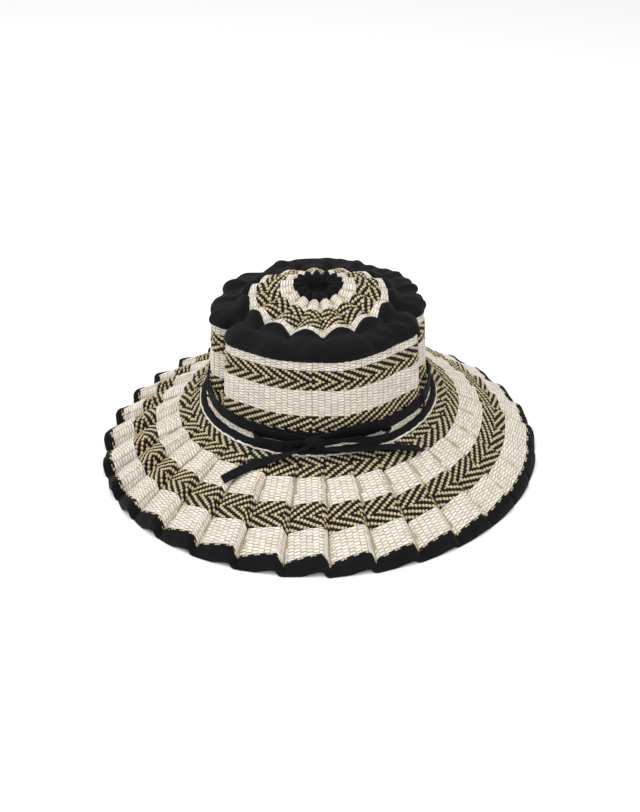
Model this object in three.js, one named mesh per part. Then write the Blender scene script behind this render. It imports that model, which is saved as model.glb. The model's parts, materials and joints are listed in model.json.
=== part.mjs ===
// Pleated sun hat of woven straw and black cotton, standing on its rim.
// Sizes are millimetres and degrees. Z is the hat's axis, the rim rests on z = 0, the bow at the
// front faces -Y, and turns are counted from +X, anticlockwise seen from above.
import * as THREE from "three";
import { mergeVertices } from "three/addons/utils/BufferGeometryUtils.js";

const STRAW_WALL = 1.6;
const COTTON_WALL = 1.4;
const GAP = 0.3;
const LEAN = 0.025; // the crown stands a little higher on its right side

// Brim: knife pleats from the neck down to the bound rim, a little steeper further out
const NECK = { radius: 101.7, height: 53.5 };
const BRIM_INNER_RADIUS = 98.9;
const BRIM_EDGE_RADIUS = 184.5;
const BRIM_FALL = { neckSlope: 0.585, slope: 0.32, growth: 0.0018 };
const RIM_RADIUS = 190.3;
const PLEATS = 32;
const PLEAT_START = -87.1;
const PLEAT_PEAK = 0.8;
const PLEAT_STEPS = [0, 0.4, 0.8, 0.9];
const PLEAT_ROUNDING = 0.65;
const PLEAT_GROWTH = 0.85;
const VALLEY_DROP = 8;
// How high the ridges stand round the rim, and how far they stand out past the valleys
const RIDGES = [
  { at: -180, rise: 13, push: 3 },
  { at: -150, rise: 12.5, push: 3 },
  { at: -118, rise: 8, push: -1 },
  { at: -90, rise: 9, push: -2.5 },
  { at: -72, rise: 7.5, push: -1.5 },
  { at: -45, rise: 6, push: 0.5 },
  { at: 0, rise: 7, push: 1.5 },
  { at: 60, rise: 6.5, push: 0.5 },
  { at: 120, rise: 9, push: 1 },
  { at: 180, rise: 13, push: 3 },
];
// The rim isn't quite round or level: it reaches further out, or less far, at these turns
const RIM_SWELLS = [
  { at: 46, width: 26, out: 3, up: -3 },
  { at: 125, width: 20, out: 0, up: -3 },
  { at: 158, width: 27, out: -8, up: -3.6 },
  { at: -168, width: 22, out: -1, up: -3 },
  { at: -40, width: 25, out: -1.5, up: 0 },
  { at: -102, width: 26, out: 1.5, up: 0 },
];
const PLEAT_SHIFTS = [
  { at: 196, width: 20, turn: 4 },
  { at: 30, width: 22, turn: 2 },
];

// Rim binding: cotton tape folded over the straw's edge, flat where it meets the ground
const BINDING = { lip: 0.8, inner: 2, foot: 4, edge: 1.8, puff: 0.22, liftStart: 0.65, lift: -5 };

// Crown wall: radius of its outer face at each height
const WALL_PROFILE = [
  { up: 55.9, out: 98.2 },
  { up: 57.7, out: 96.4 },
  { up: 60.5, out: 94.8 },
  { up: 64.5, out: 93.4 },
  { up: 76, out: 92.4 },
  { up: 104, out: 90.8 },
  { up: 131.5, out: 88.4 },
];
// Vertical folds of the crown wall, and the corners that swell beside the two deepest
const WALL_FOLDS = [
  { at: -155, depth: 12, width: 7 },
  { at: -17, depth: 10, width: 7 },
  { at: 14, depth: 5, width: 8 },
  { at: 60, depth: 3.5, width: 9 },
  { at: 126, depth: 6, width: 8 },
  { at: 163, depth: 4, width: 8 },
  { at: -142, depth: -3.5, width: 8 },
  { at: -31, depth: -3.5, width: 7 },
  { at: -74, depth: -2.5, width: 12 },
];
const FOLD_FADE = { from: 57, to: 82 };
const WALL_COLUMNS = 72;

// Gathered cotton ring between the wall's top seam and the woven tip, row by row inwards:
// share of the way in, swell past the wall, share of the rise
const RING_ROWS = [
  { inward: 0, swell: 0, rise: 0 },
  { inward: 0, swell: 2.6, rise: 0.36 },
  { inward: 0.04, swell: 1.6, rise: 0.74 },
  { inward: 0.24, swell: 0, rise: 1 },
  { inward: 0.62, swell: 0, rise: 1.02 },
  { inward: 1, swell: 0, rise: 0.9 },
];
const RING_TOP = { height: 141.4, front: -1.5 };
const RING_PUCKER = 0.35;
const RING_INNER_RADIUS = 58;
const SEAM_CLEARANCE = 0.4;

// Woven tip: a cone of 15 soft pleats up to the gathered centre. Its edge stands higher at the
// sides than at the front and back, and the centre sags towards the front
const TIP_PLEATS = 15;
const TIP_START = -2.5;
const TIP_COLUMNS = TIP_PLEATS * 4;
const TIP_OUTER = { radius: 57.4, height: 142.9, saddle: 3.3, wave: 3.4 };
const TIP_INNER = { radius: 20.1, height: 156, wave: 2.4 };
const TIP_SAG = { at: -95, depth: 5.8, width: 65 };

// Gathered cotton centre, from its edge over a soft rim down into the closed pit
const GATHER_ROWS = [
  { out: 19.2, up: 156, wave: 2.4 },
  { out: 14.5, up: 157.2, wave: 1.7 },
  { out: 10.5, up: 155.4, wave: 1 },
  { out: 8, up: 150, wave: 0.6 },
  { out: 0, up: 146, wave: 0 },
];

// Cotton band over the seam of wall and brim: corners of its section
const BASE_BAND = [
  { out: 101.6, up: 54.4 },
  { out: 102.1, up: 55.2 },
  { out: 101.2, up: 56.8 },
  { out: 99.4, up: 58.1 },
  { out: 97.2, up: 57.9 },
];
const BASE_COLUMNS = 64;

// Tie: one flat cotton tape round the crown, knotted in a bow at the front
const TAPE = { width: 8.6, thickness: 1.4 };
const TIE = { out: 94.4, height: 66.5, sideRise: 5, leanOut: 1.6 };
const TIE_CORNERS = [
  { at: -142, swell: 2.4, width: 18 },
  { at: -31, swell: 2.8, width: 16 },
  { at: -74, swell: 1.2, width: 20 },
];
const TIE_COLUMNS = 60;
const KNOT = { x: -2.6, y: -101.3, z: 65.6, halfX: 8, halfY: 4, halfZ: 5.8, squareness: 0.75 };
// Middle line of each loop and tail. Tilt turns the tape's width from upright to lying outwards
const LOOP_LEFT = [
  { turn: -96.2, out: 99, up: 66, tilt: 5 },
  { turn: -104, out: 98.4, up: 66.6, tilt: 3 },
  { turn: -111, out: 98.4, up: 67, tilt: 0 },
  { turn: -117, out: 98.7, up: 66.2, tilt: 0 },
  { turn: -120, out: 100, up: 65, tilt: 3 },
  { turn: -120.3, out: 102.2, up: 63.6, tilt: 10 },
  { turn: -117.5, out: 103.8, up: 62.6, tilt: 17 },
  { turn: -111, out: 104.3, up: 62.4, tilt: 18 },
  { turn: -104, out: 103.9, up: 62.8, tilt: 14 },
  { turn: -96.9, out: 102.4, up: 64.4, tilt: 10 },
];
const LOOP_RIGHT = [
  { turn: -87, out: 98.8, up: 68, tilt: 5 },
  { turn: -79.5, out: 98.6, up: 70.6, tilt: 3 },
  { turn: -71, out: 99, up: 73.6, tilt: 0 },
  { turn: -64, out: 99.6, up: 73.6, tilt: 0 },
  { turn: -58.6, out: 101.5, up: 71, tilt: 5 },
  { turn: -57, out: 104.2, up: 67.2, tilt: 15 },
  { turn: -59.8, out: 106.2, up: 65.4, tilt: 25 },
  { turn: -66.5, out: 106.4, up: 66.6, tilt: 30 },
  { turn: -73, out: 105.4, up: 67.8, tilt: 25 },
  { turn: -79, out: 103.8, up: 67.6, tilt: 40 },
  { turn: -86.7, out: 102.2, up: 66, tilt: 10 },
];
const TAIL_LEFT = [
  { turn: -94.6, out: 105.9, up: 63.6, tilt: 30 },
  { turn: -98.5, out: 107.7, up: 60.9, tilt: 60 },
  { turn: -103.5, out: 109.6, up: 57.2, tilt: 88 },
  { turn: -108.7, out: 112, up: 53.2, tilt: 105 },
  { turn: -113.2, out: 116, up: 50, tilt: 112 },
  { turn: -116.6, out: 121.3, up: 47.5, tilt: 113 },
  { turn: -119.4, out: 127.7, up: 44.9, tilt: 114 },
  { turn: -121.5, out: 133.5, up: 42.5, tilt: 115 },
  { turn: -123.3, out: 139.2, up: 39.9, tilt: 115 },
];
const TAIL_RIGHT = [
  { turn: -88, out: 105.7, up: 61.5, tilt: 70 },
  { turn: -77, out: 107.4, up: 60.8, tilt: 80 },
  { turn: -67, out: 108.6, up: 59.5, tilt: 88 },
  { turn: -58, out: 110.4, up: 56.5, tilt: 90 },
  { turn: -52.2, out: 114.8, up: 54, tilt: 95 },
  { turn: -46.8, out: 121, up: 51.2, tilt: 99 },
];
const LOOP_STEPS = 18;
const TAIL_STEPS = 12;
const KEEPERS = [
  { name: "tie_keeper_left", turn: -166 },
  { name: "tie_keeper_right", turn: -29 },
];
const KEEPER = { width: 3.5, reach: 7.4, wall: 1.1, footUp: -0.6, footDown: 0.9 };

const radians = THREE.MathUtils.degToRad;
const lerp = THREE.MathUtils.lerp;
const smoothstep = THREE.MathUtils.smoothstep;

// Signed difference of two angles, from -180 to 180
function turnBetween(a, b) {
  return THREE.MathUtils.euclideanModulo(a - b + 180, 360) - 180;
}

// Smooth bump of height 1 at one turn
function bump(angle, at, width) {
  return Math.exp(-((turnBetween(angle, at) / width) ** 2));
}

function polar(angle, out, up) {
  return new THREE.Vector3(out * Math.cos(radians(angle)), out * Math.sin(radians(angle)), up);
}

// Height that the crown's lean adds on a circle
function leanAt(angle, out) {
  return LEAN * out * Math.cos(radians(angle));
}

// Value of a column of a table at a place between its rows
function inTable(rows, key, column, at) {
  const ahead = rows.findIndex((row) => row[key] >= at);
  if (ahead === 0) return rows[0][column];
  if (ahead < 0) return rows[rows.length - 1][column];
  const a = rows[ahead - 1];
  const b = rows[ahead];
  return lerp(a[column], b[column], (at - a[key]) / (b[key] - a[key]));
}

// Normal of a surface point, by small steps along and across it
function normalAt(surface, angle, share, angleStep) {
  const shareStep = 0.02;
  const across = surface(angle + angleStep, share).sub(surface(angle - angleStep, share));
  const along = surface(angle, Math.min(share + shareStep, 1));
  along.sub(surface(angle, Math.max(share - shareStep, 0)));
  const normal = across.cross(along);
  return normal.lengthSq() > 1e-12 ? normal.normalize() : new THREE.Vector3(0, 0, 1);
}

// Mesh of the loops of points, each joined to the next and the last to the first
function joinLoops(loops) {
  const positions = loops.flat().flatMap((point) => point.toArray());
  const count = loops[0].length;
  const indices = [];
  loops.forEach((loop, i) => {
    const here = i * count;
    const there = ((i + 1) % loops.length) * count;
    for (let j = 0; j < count; j += 1) {
      const next = (j + 1) % count;
      indices.push(here + j, there + j, there + next);
      indices.push(here + j, there + next, here + next);
    }
  });
  return closedGeometry(positions, indices);
}

// Geometry with equal vertices merged and flat triangles dropped
function closedGeometry(positions, indices) {
  const geometry = new THREE.BufferGeometry();
  geometry.setAttribute("position", new THREE.Float32BufferAttribute(positions, 3));
  geometry.setIndex(indices);
  const merged = mergeVertices(geometry, 1e-3);
  const kept = [];
  for (let i = 0; i < merged.index.count; i += 3) {
    const [a, b, c] = [0, 1, 2].map((k) => merged.index.getX(i + k));
    if (a !== b && b !== c && c !== a) kept.push(a, b, c);
  }
  merged.setIndex(kept);
  merged.computeVertexNormals();
  return merged;
}

// Closed wall of one thickness under a surface that goes round the axis
function roundWall(angles, shares, surface, thickness) {
  const angleStep = 90 / angles.length;
  const loops = angles.map((angle) => {
    const face = shares.map((share) => surface(angle, share));
    const back = shares.map((share, k) => {
      const normal = normalAt(surface, angle, share, angleStep);
      return face[k].clone().addScaledVector(normal, -thickness);
    });
    return [...face, ...back.reverse()];
  });
  return joinLoops(loops);
}

function evenTurns(count) {
  return Array.from({ length: count }, (_, i) => (360 * i) / count);
}

// Turns that have a column on each of the tip's ridges and valleys
function tipTurns() {
  return evenTurns(TIP_COLUMNS).map((turn) => turn + TIP_START);
}

function evenShares(count) {
  return Array.from({ length: count + 1 }, (_, i) => i / count);
}

// Brim

// Height share of a pleat at its phase: a slow rise to a round ridge, then a steep drop
function pleatShape(phase) {
  if (phase > PLEAT_PEAK) {
    return 0.5 + 0.5 * Math.cos((Math.PI * (phase - PLEAT_PEAK)) / (1 - PLEAT_PEAK));
  }
  const way = phase / PLEAT_PEAK;
  return lerp(way, Math.sin((Math.PI / 2) * way), PLEAT_ROUNDING);
}

function pleatAt(nominal) {
  const place = ((nominal - PLEAT_START) * PLEATS) / 360;
  return pleatShape(THREE.MathUtils.euclideanModulo(place, 1));
}

// The pleats aren't quite even: a nominal turn lands a few degrees further on
function shiftedTurn(nominal) {
  return PLEAT_SHIFTS.reduce((sum, s) => sum + s.turn * bump(nominal, s.at, s.width), nominal);
}

// One column of the ridge table at a turn
function ridgeColumn(column, nominal) {
  return inTable(RIDGES, "at", column, turnBetween(nominal, 0));
}

function rimSwell(column, nominal) {
  return RIM_SWELLS.reduce((sum, s) => sum + s[column] * bump(nominal, s.at, s.width), 0);
}

// Share of the way from the neck to the straw's edge
function brimShare(radius) {
  return Math.max(0, (radius - NECK.radius) / (BRIM_EDGE_RADIUS - NECK.radius));
}

function brimHeight(nominal, radius) {
  const out = brimShare(radius);
  const past = radius - NECK.radius;
  const slope = past < 0 ? BRIM_FALL.neckSlope : BRIM_FALL.slope + BRIM_FALL.growth * past;
  const cone = NECK.height - slope * past;
  const lean = leanAt(nominal, NECK.radius) * (1 - out);
  const pleat = ridgeColumn("rise", nominal) * pleatAt(nominal) - VALLEY_DROP;
  return cone + lean + pleat * out ** PLEAT_GROWTH + rimSwell("up", nominal) * out;
}

function brimSurface(nominal, share) {
  const radius = lerp(BRIM_EDGE_RADIUS, BRIM_INNER_RADIUS, share);
  const out = brimShare(radius);
  const push = ridgeColumn("push", nominal) * pleatAt(nominal) * out ** 2;
  const swell = rimSwell("out", nominal) * out + push;
  return polar(shiftedTurn(nominal), radius + swell, brimHeight(nominal, radius));
}

function pleatTurns() {
  const turns = [];
  for (let pleat = 0; pleat < PLEATS; pleat += 1) {
    PLEAT_STEPS.forEach((phase) => turns.push(PLEAT_START + (360 * (pleat + phase)) / PLEATS));
  }
  return turns;
}

function makeBrim() {
  return roundWall(pleatTurns(), evenShares(4), brimSurface, STRAW_WALL);
}

function makeBinding() {
  const loops = pleatTurns().map((nominal) => {
    const ridge = pleatAt(nominal);
    const top = brimHeight(nominal, BRIM_EDGE_RADIUS);
    const liftShare = Math.max(0, (ridge - BINDING.liftStart) / (1 - BINDING.liftStart));
    const rise = ridgeColumn("rise", nominal);
    const foot = Math.max(0, rise + BINDING.lift) * liftShare;
    const edge = foot + BINDING.edge + BINDING.puff * rise * ridge;
    const swell = rimSwell("out", nominal) + ridgeColumn("push", nominal) * ridge;
    const outer = RIM_RADIUS + swell;
    const inner = BRIM_EDGE_RADIUS + swell + GAP;
    const turn = shiftedTurn(nominal);
    return [
      polar(turn, outer - BINDING.foot, foot),
      polar(turn, outer, foot),
      polar(turn, outer, edge),
      polar(turn, inner, top + BINDING.lip),
      polar(turn, inner, top - BINDING.inner),
    ];
  });
  return joinLoops(loops);
}

// Crown

function wallRadius(angle, up) {
  const fade = smoothstep(up, FOLD_FADE.from, FOLD_FADE.to);
  const fold = WALL_FOLDS.reduce((sum, f) => sum + f.depth * bump(angle, f.at, f.width), 0);
  return inTable(WALL_PROFILE, "up", "out", up) - fold * fade;
}

function wallSurface(angle, share) {
  const place = share * (WALL_PROFILE.length - 1);
  const row = Math.min(Math.floor(place), WALL_PROFILE.length - 2);
  const up = lerp(WALL_PROFILE[row].up, WALL_PROFILE[row + 1].up, place - row);
  const out = wallRadius(angle, up);
  return polar(angle, out, up + leanAt(angle, out));
}

function makeWall() {
  const shares = evenShares(WALL_PROFILE.length - 1);
  return roundWall(evenTurns(WALL_COLUMNS), shares, wallSurface, STRAW_WALL);
}

// Wave of the tip's pleats, from -1 in a valley to 1 on a ridge
function tipWave(angle) {
  const half = Math.cos(radians(((angle - TIP_START) * TIP_PLEATS) / 2));
  return 2 * Math.sqrt(half * half + 0.03) - 1.03;
}

function tipEdgeHeight(angle) {
  const saddle = TIP_OUTER.saddle * Math.cos(radians(2 * angle));
  return TIP_OUTER.height + saddle + leanAt(angle, TIP_OUTER.radius);
}

function tipSag(angle) {
  return TIP_SAG.depth * bump(angle, TIP_SAG.at, TIP_SAG.width);
}

function ringSurface(angle, share) {
  const seamUp = WALL_PROFILE[WALL_PROFILE.length - 1].up;
  const wall = wallRadius(angle, seamUp);
  const seam = seamUp + SEAM_CLEARANCE;
  const place = share * (RING_ROWS.length - 1);
  const column = (key) => {
    const row = Math.min(Math.floor(place), RING_ROWS.length - 2);
    return lerp(RING_ROWS[row][key], RING_ROWS[row + 1][key], place - row);
  };
  const inward = column("inward");
  const out = lerp(wall, RING_INNER_RADIUS, inward) + column("swell");
  const pucker = RING_PUCKER * (wall - inTable(WALL_PROFILE, "up", "out", seamUp));
  const top = RING_TOP.height + RING_TOP.front * Math.sin(radians(angle)) + pucker;
  const up = lerp(seam, top, column("rise"));
  const toEdge = smoothstep(inward, 0.45, 1);
  const wave = TIP_OUTER.wave * tipWave(angle) * toEdge;
  const edge = tipEdgeHeight(angle) - leanAt(angle, TIP_OUTER.radius) - SEAM_CLEARANCE;
  return polar(angle, out, lerp(up, edge, toEdge) + wave + leanAt(angle, out));
}

function makeRing() {
  const shares = evenShares(RING_ROWS.length - 1);
  return roundWall(tipTurns(), shares, ringSurface, COTTON_WALL);
}

function tipSurface(angle, share) {
  const out = lerp(TIP_OUTER.radius, TIP_INNER.radius, share);
  const up = lerp(tipEdgeHeight(angle), TIP_INNER.height - tipSag(angle), share);
  return polar(angle, out, up + lerp(TIP_OUTER.wave, TIP_INNER.wave, share) * tipWave(angle));
}

function makeTip() {
  return roundWall(tipTurns(), evenShares(3), tipSurface, STRAW_WALL);
}

function gatherSurface(angle, share) {
  const place = share * (GATHER_ROWS.length - 1);
  const row = Math.min(Math.floor(place), GATHER_ROWS.length - 2);
  const at = (key) => lerp(GATHER_ROWS[row][key], GATHER_ROWS[row + 1][key], place - row);
  const sag = tipSag(angle) * (1 - share);
  return polar(angle, at("out"), at("up") - sag + at("wave") * tipWave(angle));
}

function makeGather() {
  const shares = evenShares(GATHER_ROWS.length - 1);
  return roundWall(tipTurns(), shares, gatherSurface, COTTON_WALL);
}

function makeBaseBand() {
  const section = (angle) =>
    BASE_BAND.map((corner) => polar(angle, corner.out, corner.up + leanAt(angle, corner.out)));
  return joinLoops(evenTurns(BASE_COLUMNS).map(section));
}

// Tie

// Radius of the tie's inner face at mid-width: taut over the crown's corners
function tieRadius(angle) {
  return TIE_CORNERS.reduce((sum, c) => sum + c.swell * bump(angle, c.at, c.width), TIE.out);
}

function tieHeight(angle) {
  const side = Math.cos(radians(angle)) ** 2;
  return TIE.height + TIE.sideRise * side + leanAt(angle, TIE.out);
}

function makeTieBand() {
  const half = TAPE.width / 2;
  const section = (angle) => {
    const inner = tieRadius(angle);
    const middle = tieHeight(angle);
    const low = inner + TIE.leanOut / 2;
    const high = inner - TIE.leanOut / 2;
    return [
      polar(angle, low, middle - half),
      polar(angle, low + TAPE.thickness, middle - half),
      polar(angle, high + TAPE.thickness, middle + half),
      polar(angle, high, middle + half),
    ];
  };
  return joinLoops(evenTurns(TIE_COLUMNS).map(section));
}

// Flat tape along a table of places, closed at both ends
function makeTape(rows, steps) {
  const path = new THREE.CatmullRomCurve3(rows.map((r) => polar(r.turn, r.out, r.up)));
  const positions = [];
  for (let i = 0; i <= steps; i += 1) {
    const share = i / steps;
    const middle = path.getPoint(share);
    const along = path.getTangent(share);
    const place = share * (rows.length - 1);
    const row = Math.min(Math.floor(place), rows.length - 2);
    const tilt = radians(lerp(rows[row].tilt, rows[row + 1].tilt, place - row));
    const outward = new THREE.Vector3(middle.x, middle.y, 0).normalize();
    const width = outward.multiplyScalar(Math.sin(tilt));
    width.z = Math.cos(tilt);
    width.addScaledVector(along, -width.dot(along)).normalize();
    const face = width.clone().cross(along).normalize();
    const corners = [[-1, -1], [1, -1], [1, 1], [-1, 1]];
    corners.forEach(([w, t]) => {
      const corner = middle.clone().addScaledVector(width, (w * TAPE.width) / 2);
      corner.addScaledVector(face, (t * TAPE.thickness) / 2);
      positions.push(...corner.toArray());
    });
  }
  const indices = [0, 1, 2, 0, 2, 3];
  for (let i = 0; i < steps; i += 1) {
    for (let j = 0; j < 4; j += 1) {
      const next = (j + 1) % 4;
      indices.push(4 * i + j, 4 * i + 4 + j, 4 * i + 4 + next);
      indices.push(4 * i + j, 4 * i + 4 + next, 4 * i + next);
    }
  }
  const last = 4 * steps;
  indices.push(last, last + 2, last + 1, last, last + 3, last + 2);
  return closedGeometry(positions, indices);
}

function makeKnot() {
  const ball = new THREE.SphereGeometry(1, 14, 8);
  const places = ball.getAttribute("position");
  const squared = (value) => Math.sign(value) * Math.abs(value) ** KNOT.squareness;
  for (let i = 0; i < places.count; i += 1) {
    const point = new THREE.Vector3().fromBufferAttribute(places, i);
    places.setXYZ(
      i,
      KNOT.x + KNOT.halfX * squared(point.x),
      KNOT.y + KNOT.halfY * squared(point.y),
      KNOT.z + KNOT.halfZ * squared(point.z),
    );
  }
  return closedGeometry(Array.from(places.array), Array.from(ball.index.array));
}

// Small cotton loop sewn to the wall above and below the tie
function makeKeeper(turn) {
  const bridge = tieRadius(turn) + TIE.leanOut / 2 + TAPE.thickness + GAP;
  const middle = tieHeight(turn);
  const reach = KEEPER.reach;
  const slot = reach - KEEPER.wall;
  const low = tieRadius(turn) + KEEPER.footUp + KEEPER.footDown;
  const high = tieRadius(turn) + KEEPER.footUp - KEEPER.footDown;
  const outline = new THREE.Shape();
  outline.moveTo(low, -reach);
  outline.lineTo(bridge + KEEPER.wall, -reach);
  outline.lineTo(bridge + KEEPER.wall, reach);
  outline.lineTo(high, reach);
  outline.lineTo(high, slot);
  outline.lineTo(bridge, slot);
  outline.lineTo(bridge, -slot);
  outline.lineTo(low, -slot);
  outline.closePath();
  const keeper = new THREE.ExtrudeGeometry(outline, { depth: KEEPER.width, bevelEnabled: false });
  keeper.translate(0, 0, -KEEPER.width / 2);
  keeper.rotateX(Math.PI / 2);
  keeper.translate(0, 0, middle);
  keeper.rotateZ(radians(turn));
  return keeper;
}

const straw = new THREE.MeshStandardMaterial({ color: 0xe6ddcc, roughness: 0.8, metalness: 0 });
const cotton = new THREE.MeshStandardMaterial({ color: 0x1b1b1d, roughness: 0.95, metalness: 0 });

const hat = new THREE.Group();

function addPiece(name, geometry, material) {
  const piece = new THREE.Mesh(geometry, material);
  piece.name = name;
  hat.add(piece);
}

addPiece("brim", makeBrim(), straw);
addPiece("brim_binding", makeBinding(), cotton);
addPiece("crown_side", makeWall(), straw);
addPiece("crown_ring", makeRing(), cotton);
addPiece("crown_tip", makeTip(), straw);
addPiece("tip_gather", makeGather(), cotton);
addPiece("base_band", makeBaseBand(), cotton);
addPiece("tie_band", makeTieBand(), cotton);
addPiece("tie_knot", makeKnot(), cotton);
addPiece("tie_loop_left", makeTape(LOOP_LEFT, LOOP_STEPS), cotton);
addPiece("tie_loop_right", makeTape(LOOP_RIGHT, LOOP_STEPS), cotton);
addPiece("tie_tail_left", makeTape(TAIL_LEFT, TAIL_STEPS), cotton);
addPiece("tie_tail_right", makeTape(TAIL_RIGHT, TAIL_STEPS), cotton);
KEEPERS.forEach((keeper) => addPiece(keeper.name, makeKeeper(keeper.turn), cotton));

export default hat;
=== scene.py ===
"""Pleated sun hat of woven straw and black cotton, dressed and lit for a studio view.

Shapes are worked out in millimetres and degrees and become metres when a mesh is made. Z is the
hat's axis, the rim rests on z = 0, the bow at the front faces -Y, and turns are counted from +X,
anticlockwise seen from above.
"""

import json
import logging
import math
from dataclasses import dataclass, field
from enum import Enum
from typing import Iterable, NamedTuple, Sequence

import bmesh
import bpy
import numpy as np
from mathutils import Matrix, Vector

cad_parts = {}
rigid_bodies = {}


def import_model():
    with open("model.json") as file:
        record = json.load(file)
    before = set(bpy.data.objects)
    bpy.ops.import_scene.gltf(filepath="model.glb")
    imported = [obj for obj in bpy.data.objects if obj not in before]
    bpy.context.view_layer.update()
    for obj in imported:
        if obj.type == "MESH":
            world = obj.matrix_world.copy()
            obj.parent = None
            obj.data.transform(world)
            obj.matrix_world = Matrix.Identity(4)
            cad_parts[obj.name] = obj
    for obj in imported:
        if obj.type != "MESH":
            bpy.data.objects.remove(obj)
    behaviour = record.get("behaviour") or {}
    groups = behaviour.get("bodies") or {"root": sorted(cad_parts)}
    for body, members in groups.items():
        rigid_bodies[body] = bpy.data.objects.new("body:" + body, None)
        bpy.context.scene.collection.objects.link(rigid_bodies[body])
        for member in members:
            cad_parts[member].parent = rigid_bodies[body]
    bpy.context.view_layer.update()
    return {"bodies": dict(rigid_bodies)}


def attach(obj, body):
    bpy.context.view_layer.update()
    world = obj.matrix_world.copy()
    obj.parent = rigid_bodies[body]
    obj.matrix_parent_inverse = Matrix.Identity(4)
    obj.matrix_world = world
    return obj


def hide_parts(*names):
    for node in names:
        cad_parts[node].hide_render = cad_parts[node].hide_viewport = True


LOG = logging.getLogger("sun_hat")
METRES = 0.001
LEAN = 0.025  # the crown stands a little higher on its right side
FULL_TURN = 360.0


# Tables' rows


class Ridge(NamedTuple):
    """How high the pleats' ridges stand at a turn, and how far they stand out at the rim."""

    at: float
    rise: float
    push: float


class Swell(NamedTuple):
    """A stretch of the rim that reaches further out, or higher, than the round rim."""

    at: float
    width: float
    out: float
    up: float


class Shift(NamedTuple):
    """A stretch of the brim whose pleats stand some degrees further on."""

    at: float
    width: float
    turn: float


class Fold(NamedTuple):
    """A vertical fold of the crown's wall, or a fold across the cotton ring."""

    at: float
    depth: float
    width: float


class WallPoint(NamedTuple):
    """Radius of the wall's outer face at one height."""

    up: float
    out: float


class RingRow(NamedTuple):
    """A row of the cotton ring: its way in, its swell past the wall and its share of the rise."""

    inward: float
    swell: float
    rise: float


class GatherRow(NamedTuple):
    """A row of the gathered centre: radius, height and how much of the pleats' wave it takes."""

    out: float
    up: float
    wave: float


class Corner(NamedTuple):
    """A stretch of the tie that stands off where it passes a corner of the crown."""

    at: float
    swell: float
    width: float


class Spot(NamedTuple):
    """A point of a section in the upright plane through the hat's axis."""

    out: float
    up: float


class TapePlace(NamedTuple):
    """A place on a tape's middle line. Tilt turns its width from upright to lying outwards."""

    turn: float
    out: float
    up: float
    tilt: float


# Sums on angles and tables


def column(rows: Sequence[NamedTuple], name: str) -> np.ndarray:
    """Return one named column of a table."""
    return np.array([getattr(row, name) for row in rows], dtype=float)


def turn_between(a: np.ndarray, b: float) -> np.ndarray:
    """Return the signed difference of two turns, from -180 to 180."""
    return np.mod(a - b + FULL_TURN / 2, FULL_TURN) - FULL_TURN / 2


def bump(turn: np.ndarray, at: float, width: float) -> np.ndarray:
    """Return a smooth bump of height 1 round one turn."""
    return bell(turn_between(turn, at), 0, width)


def bumps(rows: Sequence[NamedTuple], name: str, turn: np.ndarray) -> np.ndarray:
    """Return the sum of a table's bumps, each as high as its named column."""
    return sum(getattr(row, name) * bump(turn, row.at, row.width) for row in rows)


def smoothstep(value: np.ndarray, low: float, high: float) -> np.ndarray:
    """Return a smooth ramp from 0 at low to 1 at high."""
    way = np.clip((value - low) / (high - low), 0, 1)
    return way * way * (3 - 2 * way)


def fade_out(value: np.ndarray, low: float, high: float) -> np.ndarray:
    """Return a smooth ramp from 1 at low to 0 at high."""
    return smoothstep(-value, -high, -low)


def facing_front(turn: np.ndarray, low: float, high: float) -> np.ndarray:
    """Return a smooth ramp that rises towards the front of the hat."""
    return smoothstep(-np.sin(np.radians(turn)), low, high)


def lerp(a: np.ndarray, b: np.ndarray, way: np.ndarray) -> np.ndarray:
    """Return the value some way from a to b."""
    return a + (b - a) * way


def table(kind: type, *values: tuple) -> tuple:
    """Return a table's rows, all of one kind."""
    return tuple(kind(*row) for row in values)


def unit(vectors: np.ndarray) -> np.ndarray:
    """Return vectors with a length of 1."""
    return vectors / np.linalg.norm(vectors, axis=-1, keepdims=True)


def blunt(value: np.ndarray, power: float) -> np.ndarray:
    """Return a power of a value that keeps its sign. Below 1 it makes a round section squarer."""
    return np.sign(value) * np.abs(value) ** power


def bell(value: np.ndarray, middle: float, width: float) -> np.ndarray:
    """Return a smooth bump of height 1 round a middle value."""
    return np.exp(-(((value - middle) / width) ** 2))


def round_turns(count: int) -> np.ndarray:
    """Return even turns round the hat, as a column."""
    return np.linspace(0, FULL_TURN, count, endpoint=False)[:, None]


def round_angles(count: int) -> np.ndarray:
    """Return even angles round a section, in radians."""
    return np.linspace(0, 2 * np.pi, count, endpoint=False)


def polar(turn: np.ndarray, out: np.ndarray, up: np.ndarray) -> np.ndarray:
    """Return points in the hat's frame from turns, radii and heights."""
    turn, out, up = np.broadcast_arrays(np.radians(turn), out, up)
    return np.stack([out * np.cos(turn), out * np.sin(turn), up], -1)


def lean_at(turn: np.ndarray, out: np.ndarray) -> np.ndarray:
    """Return the height that the crown's lean adds on a circle."""
    return LEAN * out * np.cos(np.radians(turn))


def smooth_table(xs: np.ndarray, ys: np.ndarray, x: np.ndarray) -> np.ndarray:
    """Return a table's value along one smooth curve through its rows.

    Args:
        xs: The rows' places, rising.
        ys: The rows' values.
        x: Where the value is wanted.

    Returns:
        The curve's value at each x, held at the table's ends.
    """
    slopes = np.gradient(ys, xs)
    x = np.clip(x, xs[0], xs[-1])
    row = np.clip(np.searchsorted(xs, x) - 1, 0, len(xs) - 2)
    step = xs[row + 1] - xs[row]
    t = (x - xs[row]) / step
    start = (1 + 2 * t) * (1 - t) ** 2 * ys[row] + t * (1 - t) ** 2 * step * slopes[row]
    end = t * t * (3 - 2 * t) * ys[row + 1] + t * t * (t - 1) * step * slopes[row + 1]
    return start + end


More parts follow.
